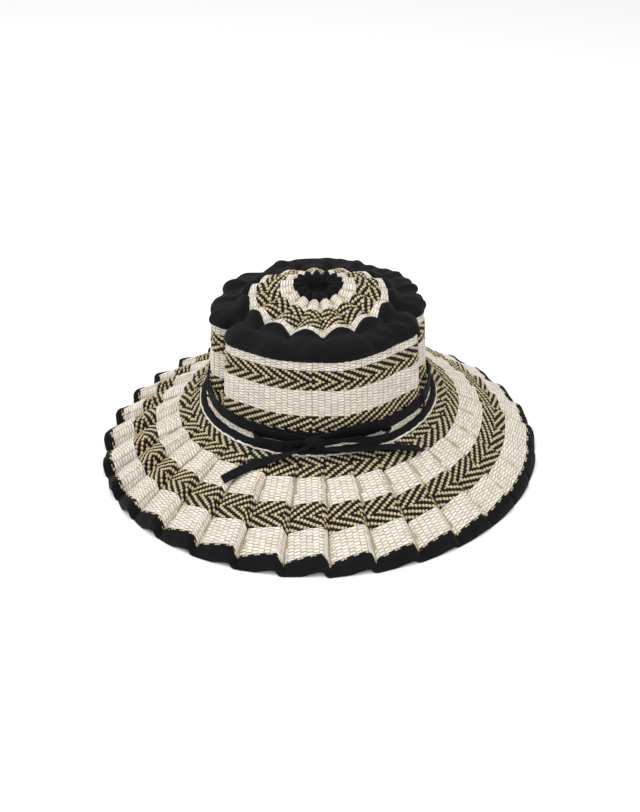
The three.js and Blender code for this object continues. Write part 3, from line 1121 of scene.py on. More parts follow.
class WovenForm:
    """A shape that flat woven cloth is laid on, panel by panel."""

    name = ""
    panels = 1
    warps = 1
    warp_pitch = 2.5
    row_pitch = 1.4
    rows = 1.0
    first_row = 0.0
    facing = 1.0
    wall = 1.6
    seed = 1
    bands: tuple[Band, ...] = ()

    def surface(self, panel: np.ndarray, along: np.ndarray, row: np.ndarray) -> np.ndarray:
        """Return points of the cloth's outer face, from millimetres along a panel and rows."""
        raise NotImplementedError

    def panel_warps(self, panel: int) -> range:
        """Return the warps that a panel can show."""
        return range(panel * self.warps, (panel + 1) * self.warps)

    def reach(self, panel: np.ndarray, row: np.ndarray) -> tuple[np.ndarray, np.ndarray]:
        """Return where a panel starts and stops along a row, in millimetres from its origin."""
        whole = self.warps * self.warp_pitch
        return np.zeros_like(row, dtype=float), np.full_like(row, whole, dtype=float)

    def normals(self, panel: np.ndarray, along: np.ndarray, row: np.ndarray) -> np.ndarray:
        """Return the outer face's unit normals, by small steps along and across it.

        Args:
            panel: Each place's panel.
            along: Millimetres from the panel's origin.
            row: Rows.

        Returns:
            One normal for each place.
        """
        step, row_step = 0.5, 0.4
        across = self.surface(panel, along + step, row) - self.surface(panel, along - step, row)
        down = self.surface(panel, along, row + row_step) - self.surface(panel, along, row - row_step)
        normal = self.facing * np.cross(down, across)
        return normal / np.maximum(np.linalg.norm(normal, axis=-1, keepdims=True), 1e-9)

    def band_numbers(self, rows: np.ndarray) -> dict[str, np.ndarray]:
        """Return the weave's facts at each row, for the ground's finish.

        Args:
            rows: Rows.

        Returns:
            The numbers by name, one for each row.
        """
        herring, middle, lean = np.zeros((3, *rows.shape))
        for band in self.bands:
            inside = (rows >= band.first) & (rows <= band.last)
            if band.weave is Weave.HERRINGBONE:
                herring[inside] = 1
                middle[inside] = band.middle
                lean[inside] = band.lean
        return {"herring": herring, "middle": middle, "lean": lean}

    def place_floats(self, yarn: Yarn) -> tuple[np.ndarray, dict[str, np.ndarray]]:
        """Lay one yarn's floats on the flat cloth.

        Args:
            yarn: The yarn.

        Returns:
            The floats' middles, and the numbers that shape each.
        """
        look = STRANDS[yarn]
        spots = []
        for panel in range(self.panels):
            start = panel * self.warps
            for spot in floats_of(yarn, self.bands, self.panel_warps(panel)):
                along = (spot.warp - start) * self.warp_pitch
                spots.append((panel, along, *spot[1:]))
        panel, along, row, half_warp, half_row = np.array(spots).T
        low, high = self.reach(panel, row)
        half = half_warp * self.warp_pitch
        shown = np.minimum(along + half, high) - np.maximum(along - half, low)
        kept = shown > SHOWN_SHARE * np.minimum(2 * half, high - low)
        panel, along, row, half, half_row = (a[kept] for a in (panel, along, row, half, half_row))
        rng = np.random.default_rng(self.seed + len(yarn.value))
        count = len(panel)
        numbers = {
            "half_x": half * look.fill_x * rng.normal(1, UNEVEN.wide, count),
            "half_y": half_row * self.row_pitch * look.fill_y * rng.normal(1, UNEVEN.long, count),
            "crown": look.crown * rng.normal(1, UNEVEN.crown, count).clip(0.7, 1.3),
            "turn": rng.normal(0, UNEVEN.turn, count),
            "tone": rng.uniform(-1, 1, count),
        }
        x = panel * PANEL_STEP + along + rng.normal(0, UNEVEN.along, count)
        y = row * self.row_pitch + rng.normal(0, UNEVEN.across, count)
        return np.stack([x, y, np.zeros(count)], -1), numbers

    def strands(self, yarn: Yarn, tree: FloatTree, finish: bpy.types.Material) -> bpy.types.Mesh:
        """Make one yarn's floats on the shape.

        Args:
            yarn: The yarn.
            tree: The geometry nodes that make a float on each point.
            finish: The yarn's material.

        Returns:
            The floats as one mesh.
        """
        spots, numbers = self.place_floats(yarn)
        name = f"{self.name}_{yarn.value}"
        points = bpy.data.meshes.new(name + "_points")
        points.vertices.add(len(spots))
        points.vertices.foreach_set("co", spots.astype(np.float32).ravel())
        for key, values in numbers.items():
            set_number(points, key, values)
        look = STRANDS[yarn]
        settings = {"Columns": look.columns, "Rows": look.rows}
        settings.update({"Blunt Ends": look.blunt_ends, "Blunt Sides": look.blunt_sides})
        settings["Finish"] = finish
        made = tree.grow(points, settings)
        made.name = name
        self.lay(made)
        return made

    def lay(self, mesh: bpy.types.Mesh) -> None:
        """Move floats from the flat cloth to the shape, and store their flat places as UV maps.

        Args:
            mesh: The mesh.
        """
        flat = np.empty(len(mesh.vertices) * 3, dtype=np.float32)
        mesh.vertices.foreach_get("co", flat)
        flat = flat.reshape(-1, 3).astype(float)
        panel = np.floor(flat[:, 0] / PANEL_STEP + 0.5)
        along = flat[:, 0] - panel * PANEL_STEP
        row = flat[:, 1] / self.row_pitch
        low, high = self.reach(panel, row)
        along = np.clip(along, low, high)
        lift = flat[:, 2] - FLOAT_SINK
        placed = self.surface(panel, along, row)
        placed += lift[:, None] * self.normals(panel, along, row)
        mesh.vertices.foreach_set("co", (placed * METRES).astype(np.float32).ravel())
        corners = np.empty(len(mesh.loops), dtype=np.int32)
        mesh.loops.foreach_get("vertex_index", corners)
        cells = math.ceil(math.sqrt(self.panels))
        wide = (PANEL_LENGTH if self.panels > 1 else WALL_LENGTH) + LENGTH_SPARE
        tall = self.rows - self.first_row + 2 * ROWS_BEFORE
        u = (panel % cells + np.clip((along + PANEL_BACK) / wide, 0, 1)) / cells
        v = (panel // cells + np.clip((row - self.first_row + ROWS_BEFORE) / tall, 0, 1)) / cells
        for layer in list(mesh.uv_layers):
            mesh.uv_layers.remove(layer)
        set_uv(mesh, "Cloth", np.stack([flat[:, 0], flat[:, 1]], -1)[corners])
        set_uv(mesh, "OFBake", np.stack([u, v], -1)[corners])
        mesh.polygons.foreach_set("use_smooth", np.ones(len(mesh.polygons), dtype=bool))
        mesh.update()

    def ground(self, shares: np.ndarray, rows: np.ndarray, inner_rows: int) -> bpy.types.Mesh:
        """Make the cloth's wall under the floats.

        Args:
            shares: Places across a panel, from 0 up to less than 1.
            rows: Rows of the outer face.
            inner_rows: Rows of the inner face.

        Returns:
            The closed wall.
        """
        panel, share = (a.ravel() for a in np.meshgrid(range(self.panels), shares, indexing="ij"))
        panel, row = np.meshgrid(panel.astype(float), rows, indexing="ij")
        share = np.repeat(share[:, None], len(rows), 1)
        low, high = self.reach(panel, row)
        along = lerp(low, high, share)
        face = self.surface(panel, along, row)
        back = face - self.wall * self.normals(panel, along, row)
        kept = np.linspace(len(rows) - 1, 0, inner_rows).round().astype(int)
        points = np.concatenate([face, back[:, kept]], axis=1)
        warp = panel * self.warps + along / self.warp_pitch
        weave = np.stack([warp, row], -1)
        weave = np.concatenate([weave, weave[:, kept]], axis=1)
        closing = weave[:1] + np.array([self.panels * self.warps, 0.0])
        weave = np.concatenate([weave, closing], axis=0)
        every_row = np.concatenate([row, row[:, kept]], axis=1)
        covered = np.concatenate([np.ones_like(row), np.zeros_like(row[:, kept])], axis=1)
        numbers = {**self.band_numbers(every_row), "covered": covered}
        return Lattice(points, weave=weave, numbers=numbers).mesh(f"{self.name}_ground")


@dataclass
class Brim(WovenForm):
    """The sloping brim of 32 knife pleats. Its warps run along each pleat's ridge."""

    neck_radius: float = 101.7
    neck_height: float = 53.5
    inner_radius: float = 98.9
    edge_radius: float = 184.5
    neck_slope: float = 0.585
    fall: float = 0.32
    fall_growth: float = 0.0018
    row_marks: tuple[float, ...] = (-2.0, 0.0, 14.0, 30.0, 46.0, 62.5)
    row_radii: tuple[float, ...] = (98.9, 101.7, 121.8, 143.4, 163.2, 184.5)
    pleat_start: float = -87.1
    peak: float = 0.84
    rounding: float = 0.65
    growth: float = 0.85
    valley_drop: float = 8.0
    crevice: float = 2.2
    crevice_width: float = 0.025
    lowest: float = 2.0
    usual_rise: float = 9.0
    slip_starts: tuple[float, float] = (4.0, 20.0)
    slip_ends: tuple[float, float] = (50.0, 62.0)
    ridges: tuple[Ridge, ...] = table(
        Ridge,
        (-180, 13, 3), (-150, 12.5, 3), (-118, 8, -1), (-90, 9, -2.5), (-72, 7.5, -1.5),
        (-45, 6, 0.5), (0, 7, 1.5), (60, 6.5, 0.5), (120, 9, 1), (180, 13, 3),
    )
    swells: tuple[Swell, ...] = table(
        Swell,
        (46, 26, 3, -3), (125, 20, 0, -3), (158, 27, -8, -3.6), (-168, 22, -1, -3),
        (-40, 25, -1.5, 0), (-102, 26, 1.5, 0),
    )
    shifts: tuple[Shift, ...] = (Shift(196, 20, 4), Shift(30, 22, 2))

    def __post_init__(self) -> None:
        """Set the cloth's sizes and bands."""
        self.name = "brim"
        self.panels = 32
        self.warps = 17
        self.row_pitch = 1.478
        self.first_row, self.rows = self.row_marks[0], self.row_marks[-1]
        self.seed = 11
        self.bands = (
            Band(Weave.RIB, self.first_row, 1),
            Band(Weave.HERRINGBONE, 1, 14, 6, -1),
            Band(Weave.RIB, 14, 30),
            Band(Weave.HERRINGBONE, 30, 46, 38, 1),
            Band(Weave.RIB, 46, 61),
            Band(Weave.HERRINGBONE, 61, 63, 70, 1),
        )
        rng = np.random.default_rng(7)
        self.pleat_factor = rng.normal(1, 0.08, self.panels)
        self.pleat_slip = rng.normal(0, 0.35, self.panels)

    def panel_warps(self, panel: int) -> range:
        """Return the warps that a pleat can show: its ridge is its origin."""
        return range(panel * self.warps - 15, panel * self.warps + 10)

    def ridge_column(self, name: str, nominal: np.ndarray) -> np.ndarray:
        """Return one column of the ridge table at a turn."""
        turns = turn_between(nominal, 0)
        return np.interp(turns, column(self.ridges, "at"), column(self.ridges, name))

    def shifted(self, nominal: np.ndarray) -> np.ndarray:
        """Return where a nominal turn lands."""
        return nominal + bumps(self.shifts, "turn", nominal)

    def share(self, radius: np.ndarray) -> np.ndarray:
        """Return the way from the neck to the straw's edge."""
        return np.maximum(0, (radius - self.neck_radius) / (self.edge_radius - self.neck_radius))

    def profile(self, phase: np.ndarray) -> np.ndarray:
        """Return a pleat's height share: a slow rise to a round ridge, then a steep drop.

        Args:
            phase: Places in a pleat, from 0 to 1.

        Returns:
            Shares from 0 to 1.
        """
        way = np.clip(phase / self.peak, 0, 1)
        slow = lerp(way, np.sin(np.pi / 2 * way), self.rounding)
        steep = 0.5 + 0.5 * np.cos(np.pi * (phase - self.peak) / (1 - self.peak))
        return np.where(phase <= self.peak, slow, steep)

    def nominal(self, panel: np.ndarray, phase: np.ndarray) -> np.ndarray:
        """Return the turn of a place in a pleat before the pleats' uneven shift."""
        return self.pleat_start + FULL_TURN * (panel + phase) / self.panels

    def rise(self, panel: np.ndarray, radius: np.ndarray) -> np.ndarray:
        """Return how high a pleat's ridge stands over its valleys.

        Args:
            panel: Each place's panel.
            radius: Radii.

        Returns:
            Millimetres.
        """
        middle = self.nominal(panel, self.peak)
        factor = self.pleat_factor[np.asarray(panel, dtype=int) % self.panels]
        return self.ridge_column("rise", middle) * factor * self.share(radius) ** self.growth

    def height(self, panel: np.ndarray, phase: np.ndarray, radius: np.ndarray) -> np.ndarray:
        """Return the outer face's height.

        Args:
            panel: Each place's panel.
            phase: Places in a pleat, from 0 to 1.
            radius: Radii.

        Returns:
            Millimetres above the ground.
        """
        out = self.share(radius)
        nominal = self.nominal(panel, phase)
        past = radius - self.neck_radius
        fall = np.where(past < 0, self.neck_slope * past, self.fall * past + self.fall_growth * past**2)
        cone = self.neck_height - fall
        lean = lean_at(nominal, self.neck_radius) * (1 - out)
        pleat = self.rise(panel, radius) * self.profile(phase)
        valley = self.valley_drop * out**self.growth
        near = bell(np.minimum(phase, 1 - phase), 0, self.crevice_width)
        crease = self.crevice * near * (0.8 + 0.2 * out)
        up = cone + lean + pleat - valley - crease + bumps(self.swells, "up", nominal) * out
        return np.maximum(up, self.lowest)

    def at(self, panel: np.ndarray, phase: np.ndarray, radius: np.ndarray) -> np.ndarray:
        """Return points of the outer face.

        Args:
            panel: Each place's panel.
            phase: Places in a pleat, from 0 to 1.
            radius: Radii.

        Returns:
            One value or point for each place.
        """
        nominal = self.nominal(panel, phase)
        share = self.share(radius)
        push = self.ridge_column("push", nominal) * self.profile(phase) * share**2
        out = radius + bumps(self.swells, "out", nominal) * share + push
        return polar(self.shifted(nominal), out, self.height(panel, phase, radius))

    def radius_of(self, row: np.ndarray) -> np.ndarray:
        """Return the radius of a row."""
        return np.interp(row, self.row_marks, self.row_radii)

    def reach(self, panel: np.ndarray, row: np.ndarray) -> tuple[np.ndarray, np.ndarray]:
        """Return how far a pleat's cloth reaches back to its valley, and on down its steep side.

        Args:
            panel: Each place's panel.
            row: Rows.

        Returns:
            The first and the last place of the panel's cloth.
        """
        radius = self.radius_of(row)
        width = 2 * np.pi * radius / self.panels
        rise = self.rise(panel, radius)
        return -np.hypot(self.peak * width, rise), np.hypot((1 - self.peak) * width, rise)

    def surface(self, panel: np.ndarray, along: np.ndarray, row: np.ndarray) -> np.ndarray:
        """Return points of the outer face, from millimetres past a pleat's ridge and rows.

        Args:
            panel: Each place's panel.
            along: Millimetres from the panel's origin.
            row: Rows.

        Returns:
            Points in the hat's frame.
        """
        slip = self.pleat_slip[np.asarray(panel, dtype=int) % self.panels]
        low, high = self.reach(panel, row)
        back = self.peak * (1 - np.clip(along / low, 0, 1))
        on = self.peak + (1 - self.peak) * np.clip(along / high, 0, 1)
        phase = np.where(along < 0, back, on)
        loose = smoothstep(row, *self.slip_starts) * fade_out(row, *self.slip_ends)
        radius = self.radius_of(row + slip * loose)
        return self.at(panel, phase, radius)


@dataclass
class CrownWall(WovenForm):
    """The crown's upright wall of woven straw, with its soft vertical folds."""

    top: float = 131.5
    foot: float = 55.9
    seam_turn: float = -93.0
    points: tuple[WallPoint, ...] = table(
        WallPoint,
        (55.9, 98.2), (57.7, 96.4), (60.5, 94.8), (64.5, 93.4), (76, 92.4), (104, 90.8),
        (131.5, 88.4),
    )
    folds: tuple[Fold, ...] = table(
        Fold,
        (-155, 12, 7), (-17, 10, 7), (14, 5, 8), (60, 3.5, 9), (126, 6, 8), (163, 4, 8),
        (-142, -3.5, 8), (-31, -3.5, 7), (-74, -2.5, 12),
    )
    fade_from: float = 57.0
    fade_to: float = 82.0
    ripple: Ripple = Ripple(5, 7, 26, 9, 0.5)
    ripple_height: float = 0.35

    def __post_init__(self) -> None:
        """Set the cloth's sizes and bands."""
        self.name = "crown_side"
        self.panels = 5
        self.warps = 46
        self.row_pitch = 1.43
        self.rows = (self.top - self.foot) / self.row_pitch
        self.seed = 21
        self.bands = (
            Band(Weave.RIB, 0, 5),
            Band(Weave.HERRINGBONE, 5, 17, 11, -1),
            Band(Weave.RIB, 17, 33),
            Band(Weave.HERRINGBONE, 33, 49, 41, 1),
            Band(Weave.RIB, 49, self.rows),
        )

    def radius(self, turn: np.ndarray, up: np.ndarray) -> np.ndarray:
        """Return the outer face's radius.

        Args:
            turn: Turns, in degrees.
            up: Heights.

        Returns:
            Millimetres.
        """
        fade = smoothstep(up, self.fade_from, self.fade_to)
        fold = bumps(self.folds, "depth", turn)
        profile = smooth_table(column(self.points, "up"), column(self.points, "out"), up)
        uneven = self.ripple_height * self.ripple.at(turn, up / 20)
        return profile - (fold + uneven) * fade

    def surface(self, panel: np.ndarray, along: np.ndarray, row: np.ndarray) -> np.ndarray:
        """Return points of the outer face, from millimetres along a panel and rows.

        Args:
            panel: Each place's panel.
            along: Millimetres from the panel's origin.
            row: Rows.

        Returns:
            Points in the hat's frame.
        """
        warp = panel * self.warps + along / self.warp_pitch
        turn = self.seam_turn + FULL_TURN * warp / (self.panels * self.warps)
        up = self.top - self.row_pitch * row
        out = self.radius(turn, up)
        return polar(turn, out, up + lean_at(turn, out))


@dataclass
class CrownTip(WovenForm):
    """The woven insert of the crown's top: a low cone of 15 soft pleats."""

    outer_radius: float = 57.4
    outer_height: float = 142.9
    outer_wave: float = 3.6
    saddle: float = 3.3
    inner_radius: float = 20.1
    inner_height: float = 156.0
    inner_wave: float = 2.4
    sag: Fold = Fold(-95, 5.8, 65)
    start: float = -2.5
    valley_round: float = 0.03
    wave_depth: float = 1.68

    def __post_init__(self) -> None:
        """Set the cloth's sizes and bands."""
        self.name = "crown_tip"
        self.panels = 15
        self.warps = 12
        self.rows = 28.0
        self.radius_pitch = (self.outer_radius - self.inner_radius) / self.rows
        self.row_pitch = 1.42
        self.first_row = -3.0
        self.facing = -1.0
        self.seed = 31
        self.bands = (
            Band(Weave.RIB, self.first_row, 4),
            Band(Weave.HERRINGBONE, 4, 19, 11, -1),
            Band(Weave.RIB, 19, self.rows),
        )

    def wave(self, turn: np.ndarray) -> np.ndarray:
        """Return the pleats' wave, from about -0.7 in a valley to 1 on a ridge."""
        half = np.cos(np.radians((turn - self.start) * self.panels / 2))
        return 2 * np.sqrt(half * half + self.valley_round) - (1 + self.valley_round)

    def edge_height(self, turn: np.ndarray) -> np.ndarray:
        """Return the height of the outer edge's middle."""
        saddle = self.saddle * np.cos(np.radians(2 * turn))
        return self.outer_height + saddle + lean_at(turn, self.outer_radius)

    def sunk(self, turn: np.ndarray) -> np.ndarray:
        """Return how far the centre sags at a turn."""
        return bumps([self.sag], "depth", turn)

    def panel_warps(self, panel: int) -> range:
        """Return the warps that a pleat can show: its ridge is its origin."""
        return range(panel * self.warps - 8, panel * self.warps + 8)

    def half_width(self, row: np.ndarray) -> np.ndarray:
        """Return half a pleat's width across its foot."""
        radius = self.outer_radius - self.radius_pitch * row
        return np.pi * np.maximum(radius, 1.0) / self.panels

    def reach(self, panel: np.ndarray, row: np.ndarray) -> tuple[np.ndarray, np.ndarray]:
        """Return how far a pleat's cloth reaches to each side of its ridge.

        Args:
            panel: Each place's panel. Not used.
            row: Rows.

        Returns:
            The first and the last place of the panel's cloth.
        """
        half = self.half_width(row)
        share = np.clip(row / self.rows, 0, 1)
        depth = self.wave_depth * lerp(self.outer_wave, self.inner_wave, share)
        length = np.hypot(half, depth)
        return -length, length

    def surface(self, panel: np.ndarray, along: np.ndarray, row: np.ndarray) -> np.ndarray:
        """Return points of the outer face, from millimetres past a pleat's ridge and rows.

        Args:
            panel: Each place's panel.
            along: Millimetres from the panel's origin.
            row: Rows.

        Returns:
            Points in the hat's frame.
        """
        _, length = self.reach(panel, row)
        way = np.clip(along / length, -1, 1)
        uneven = np.minimum(length / self.half_width(row) - 1, 0.8)
        across = way + uneven * np.sin(np.pi * way) / np.pi
        turn = self.start + FULL_TURN * (panel + across / 2) / self.panels
        share = row / self.rows
        out = self.outer_radius - self.radius_pitch * row
        up = lerp(self.edge_height(turn), self.inner_height - self.sunk(turn), share)
        wave = lerp(self.outer_wave, self.inner_wave, np.clip(share, 0, 1)) * self.wave(turn)
        return polar(turn, out, up + wave)


@dataclass
class Straw:
    """The three woven pieces, their strands and what shows between them."""

    brim: Brim = field(default_factory=Brim)
    wall: CrownWall = field(default_factory=CrownWall)
    tip: CrownTip = field(default_factory=CrownTip)

    def finishes(self) -> dict[Yarn, bpy.types.Material]:
        """Make the yarns' materials.

        Returns:
            The material of each yarn.
        """
        across, along = (0.5, 5.0, 1.0), (5.0, 0.5, 1.0)
        cream = StrandFinish(
            "cream_strand",
            colour=(0.715, 0.69, 0.64, 1),
            # painted shade at the float's sunk edges
            dip_shade=(0.36, 0.29, 0.19, 1),
            fleck=(0.7, 0.58, 0.42, 1),
            flecks=0.04,
            fibre_scale=across,
            roughness=0.6,
        )
        black = StrandFinish(
            "black_strand",
            colour=(0.0035, 0.0035, 0.004, 1),
            # painted shade at the float's sunk edges
            dip_shade=(0.002, 0.002, 0.002, 1),
            fleck=(0.025, 0.018, 0.012, 1),
            flecks=0.05,
            fibre_scale=across,
            roughness=0.68,
            specular=0.2,
        )
        straw = StrandFinish(
            "straw_strand",
            colour=(0.5, 0.415, 0.24, 1),
            # painted shade at the float's sunk edges
            dip_shade=(0.2, 0.145, 0.08, 1),
            fleck=(0.56, 0.35, 0.17, 1),
            flecks=0.12,
            fibre_scale=along,
            roughness=0.62,
        )
        return {Yarn.CREAM: cream.make(), Yarn.BLACK: black.make(), Yarn.STRAW: straw.make()}

    def build(self, dresser: Dresser) -> None:
        """Make the grounds and the strands.

        Args:
            dresser: Puts the pieces in the scene.
        """
        ground = GroundFinish(
            "woven_ground",
            cream=(0.78, 0.73, 0.64, 1),
            straw=(0.6, 0.5, 0.3, 1),
            black=(0.007, 0.007, 0.008, 1),
            # painted shade for the weave's gaps, partly the warp's own tan
            deep=(0.36, 0.28, 0.18, 1),
        ).make()
        brim, wall, tip = self.brim, self.wall, self.tip
        steep = np.linspace(brim.peak, 1, 6)[:-1]
        shares = self.brim_shares(np.linspace(0, brim.peak, 13)[:-1], steep)
        rows = np.linspace(brim.first_row, brim.rows, 63)
        dresser.add(brim.ground(shares, rows, 14), ground, Slot.STRAW, ["brim"])
        rows = np.linspace(0, wall.rows, 50)
        shares = np.linspace(0, 1, 72, endpoint=False)
        dresser.add(wall.ground(shares, rows, 12), ground, Slot.STRAW, ["crown_side"])
        rows = np.linspace(tip.first_row, tip.rows, 32)
        shares = np.linspace(0, 1, 18, endpoint=False)
        dresser.add(tip.ground(shares, rows, 8), ground, Slot.STRAW, ["crown_tip"])
        tree = FloatTree()
        for yarn, finish in self.finishes().items():
            for form in (brim, wall, tip):
                dresser.add(form.strands(yarn, tree, finish), finish, Slot.STRAW)

    def brim_shares(self, slow: np.ndarray, steep: np.ndarray) -> np.ndarray:
        """Return places across a pleat's cloth, dense on the steep side.

        Args:
            slow: Phases of the slow side.
            steep: Phases of the steep side.

        Returns:
            Shares of the pleat's cloth.
        """
        width = 2 * np.pi * self.brim.edge_radius / self.brim.panels
        back = self.brim.peak * width
        on = math.hypot((1 - self.brim.peak) * width, self.brim.usual_rise)
        near = slow / self.brim.peak * back
        far = back + (steep - self.brim.peak) / (1 - self.brim.peak) * on
        return np.concatenate([near, far]) / (back + on)


@dataclass
class RimBinding:
    """Black cotton tape folded over the straw's edge, puffy and creased at each pleat."""

    brim: Brim
    radius: float = 190.3
    foot_width: float = 4.0
    edge: float = 1.8
    puff: float = 0.22
    lift_start: float = 0.65
    lift: float = -5.0
    overlap: float = 0.7
    bulge: float = 1.5
    pinch: float = 1.3
    pinch_width: float = 0.07
    slant: float = 0.1
    ripple: Ripple = Ripple(41, 20, 90, 12, 2.5)
    ripple_height: float = 0.22
    steps: int = 4

    def section(self, panel: np.ndarray, phase: np.ndarray) -> np.ndarray:
        """Return each column's section through its corner points.

        Args:
            panel: Each column's pleat.
            phase: Each column's place in its pleat.

        Returns:
            Radius and height of each corner, columns first.
        """
        brim = self.brim
        ridge = brim.profile(phase)
        nominal = brim.nominal(panel, phase)
        rise = brim.ridge_column("rise", nominal)
        swell = bumps(brim.swells, "out", nominal)
        push = brim.ridge_column("push", nominal) * ridge
        outer = self.radius + swell + push
        lifted = np.maximum(0, (ridge - self.lift_start) / (1 - self.lift_start))
        foot = np.maximum(0, rise + self.lift) * lifted
        edge = foot + self.edge + self.puff * rise * ridge
        lip = brim.edge_radius - self.overlap
        lip_up = brim.height(panel, phase, np.full_like(phase, lip))
        top = brim.height(panel, phase, np.full_like(phase, brim.edge_radius))
        lip_out, inner = lip + swell + push, brim.edge_radius + swell + push
        uneven = self.ripple_height * self.ripple.at(nominal, 0)
        corners = [(lip_out, lip_up + 0.5), (lip_out + 0.8, top + 1.0)]
        for way in (0.3, 0.55, 0.8):
            valley = turn_between((phase - self.slant * (way - 0.5)) * FULL_TURN, 0) / FULL_TURN
            pinch = self.pinch * bell(valley, 0, self.pinch_width)
            puff = self.bulge * math.sin(math.pi * way) ** 0.7 - pinch
            puff = puff + uneven + self.ripple_height * self.ripple.at(nominal, 4 * way)
            spot_out = lerp(lip_out + 0.9, outer, way) + 0.75 * puff
            corners.append((spot_out, lerp(top + 1.0, edge, way) + 0.6 * puff))
        corners += [
            (outer, edge),
            (outer + 0.2, lerp(foot, edge, 0.4)),
            (outer - 0.7, foot + 0.05),
            (outer - self.foot_width, foot),
            (lerp(outer - self.foot_width, inner, 0.6), lerp(foot, top - 2.8, 0.55)),
            (inner - 0.2, top - 3.0),
            (lip_out - 0.6, lip_up - 2.8),
        ]
        return np.stack([np.stack(np.broadcast_arrays(*spot), -1) for spot in corners], 1)

    def build(self, dresser: Dresser, finish: bpy.types.Material) -> None:
        """Make the binding.

        Args:
            dresser: Puts the pieces in the scene.
            finish: The cotton's material.
        """
        slow = np.linspace(0, self.brim.peak, 15)[:-1]
        phases = np.concatenate([slow, [0.86, 0.89, 0.92, 0.95, 0.98]])
        panel, phase = (a.ravel() for a in np.meshgrid(range(self.brim.panels), phases, indexing="ij"))
        corners = self.section(panel.astype(float), phase)
        turn = self.brim.shifted(self.brim.nominal(panel, phase))
        rings = []
        for corner_row, angle in zip(corners, turn):
            curve = smooth_path(corner_row, self.steps, closed=True)
            rings.append(polar(np.full(len(curve), angle), curve[:, 0], np.maximum(curve[:, 1], 0)))
        mesh = Lattice(np.stack(rings)).mesh("rim_binding")
        dresser.add(mesh, finish, Slot.COTTON, ["brim_binding"])


@dataclass
class CrownRing:
    """Puffy gathered cotton from the wall's top seam to the woven tip."""

    wall: CrownWall
    tip: CrownTip
    rows: tuple[RingRow, ...] = table(
        RingRow,
        (0, -0.4, -0.06), (0, 1.2, 0.1), (0, 1.9, 0.38), (0.05, 1.3, 0.76), (0.2, 0.2, 0.98),
        (0.42, 0, 1.06), (0.7, 0, 1.04), (1, 0, 0.92),
    )
    top: float = 141.4
    front: float = -1.5
    pucker: float = 0.35
    inner_radius: float = 57.6
    puff: float = 3.4
    puff_place: float = 0.84
    puff_width: float = 0.11
    valley_reach: float = 2.5
    edge_slope: float = 0.37
    crease: float = 2.2
    thickness: float = 1.4
    folds: tuple[Fold, ...] = table(
        Fold,
        (-160, 3.8, 4.2), (-167, 2.0, 2.6), (-22, 2.6, 4), (18, 2.8, 4), (66, 2.2, 4),
        (113, 2.8, 3.6), (152, 2.0, 4), (-64, 1.8, 4.5), (-118, 1.8, 5), (-88, 0.8, 2.2),
        (-40, 1.0, 3), (92, 0.9, 5), (-136, 1.2, 4),
    )
    ripple: Ripple = Ripple(51, 9, 40, 14, 3.0)
    ripple_height: float = 0.65
    columns: int = 504

    def face(self) -> np.ndarray:
        """Return the outer face's points, columns first.

        Returns:
            The points.
        """
        turn = round_turns(self.columns)
        share = np.linspace(0, 1, 40)[None, :]
        places = np.linspace(0, 1, len(self.rows))
        inward, swell, rise = (
            smooth_table(places, column(self.rows, name), share) for name in RingRow._fields
        )
        wall = self.wall.radius(turn, np.full_like(turn, self.wall.top))
        wave = self.tip.wave(turn)
        valley = (1 - wave) / self.tip.wave_depth
        frontness = facing_front(turn, -0.9, 0.5)
        out = lerp(wall, self.inner_radius + self.valley_reach * valley * frontness, inward) + swell
        base = wall - self.wall.points[-1].out
        top = self.top + self.front * np.sin(np.radians(turn)) + self.pucker * base
        up = lerp(self.wall.top, top, rise)
        to_edge = smoothstep(inward, 0.45, 1)
        edge = self.tip.edge_height(turn) - lean_at(turn, self.tip.outer_radius) + 0.5
        puff = self.puff * bell(inward, self.puff_place, self.puff_width)
        puff = puff * (0.25 + 0.75 * frontness)
        crease = self.crease * valley**3 * bell(inward, 0.7, 0.2)
        slope = self.edge_slope * self.valley_reach * valley * frontness
        up = lerp(up, edge - slope, to_edge) + self.tip.outer_wave * wave * to_edge + puff - crease
        fade = smoothstep(share, 0.04, 0.3) * fade_out(share, 0.6, 0.98)
        dent = bumps(self.folds, "depth", turn + 5 * (share - 0.4)) * fade
        fine = self.ripple_height * self.ripple.at(turn, 5 * share) * smoothstep(share, 0.02, 0.2)
        seam = 0.3 * np.cos(np.radians(turn * 90)) * bell(share, 0.09, 0.07)
        points = polar(turn, out, up + lean_at(turn, out))
        return points - (dent + fine * fade - seam)[..., None] * -sheet_normals(points)

    def build(self, dresser: Dresser, finish: bpy.types.Material) -> None:
        """Make the ring."""
        mesh = Lattice(walled(self.face(), self.thickness, 14)).mesh("crown_ring_cloth")
        dresser.add(mesh, finish, Slot.COTTON, ["crown_ring"])


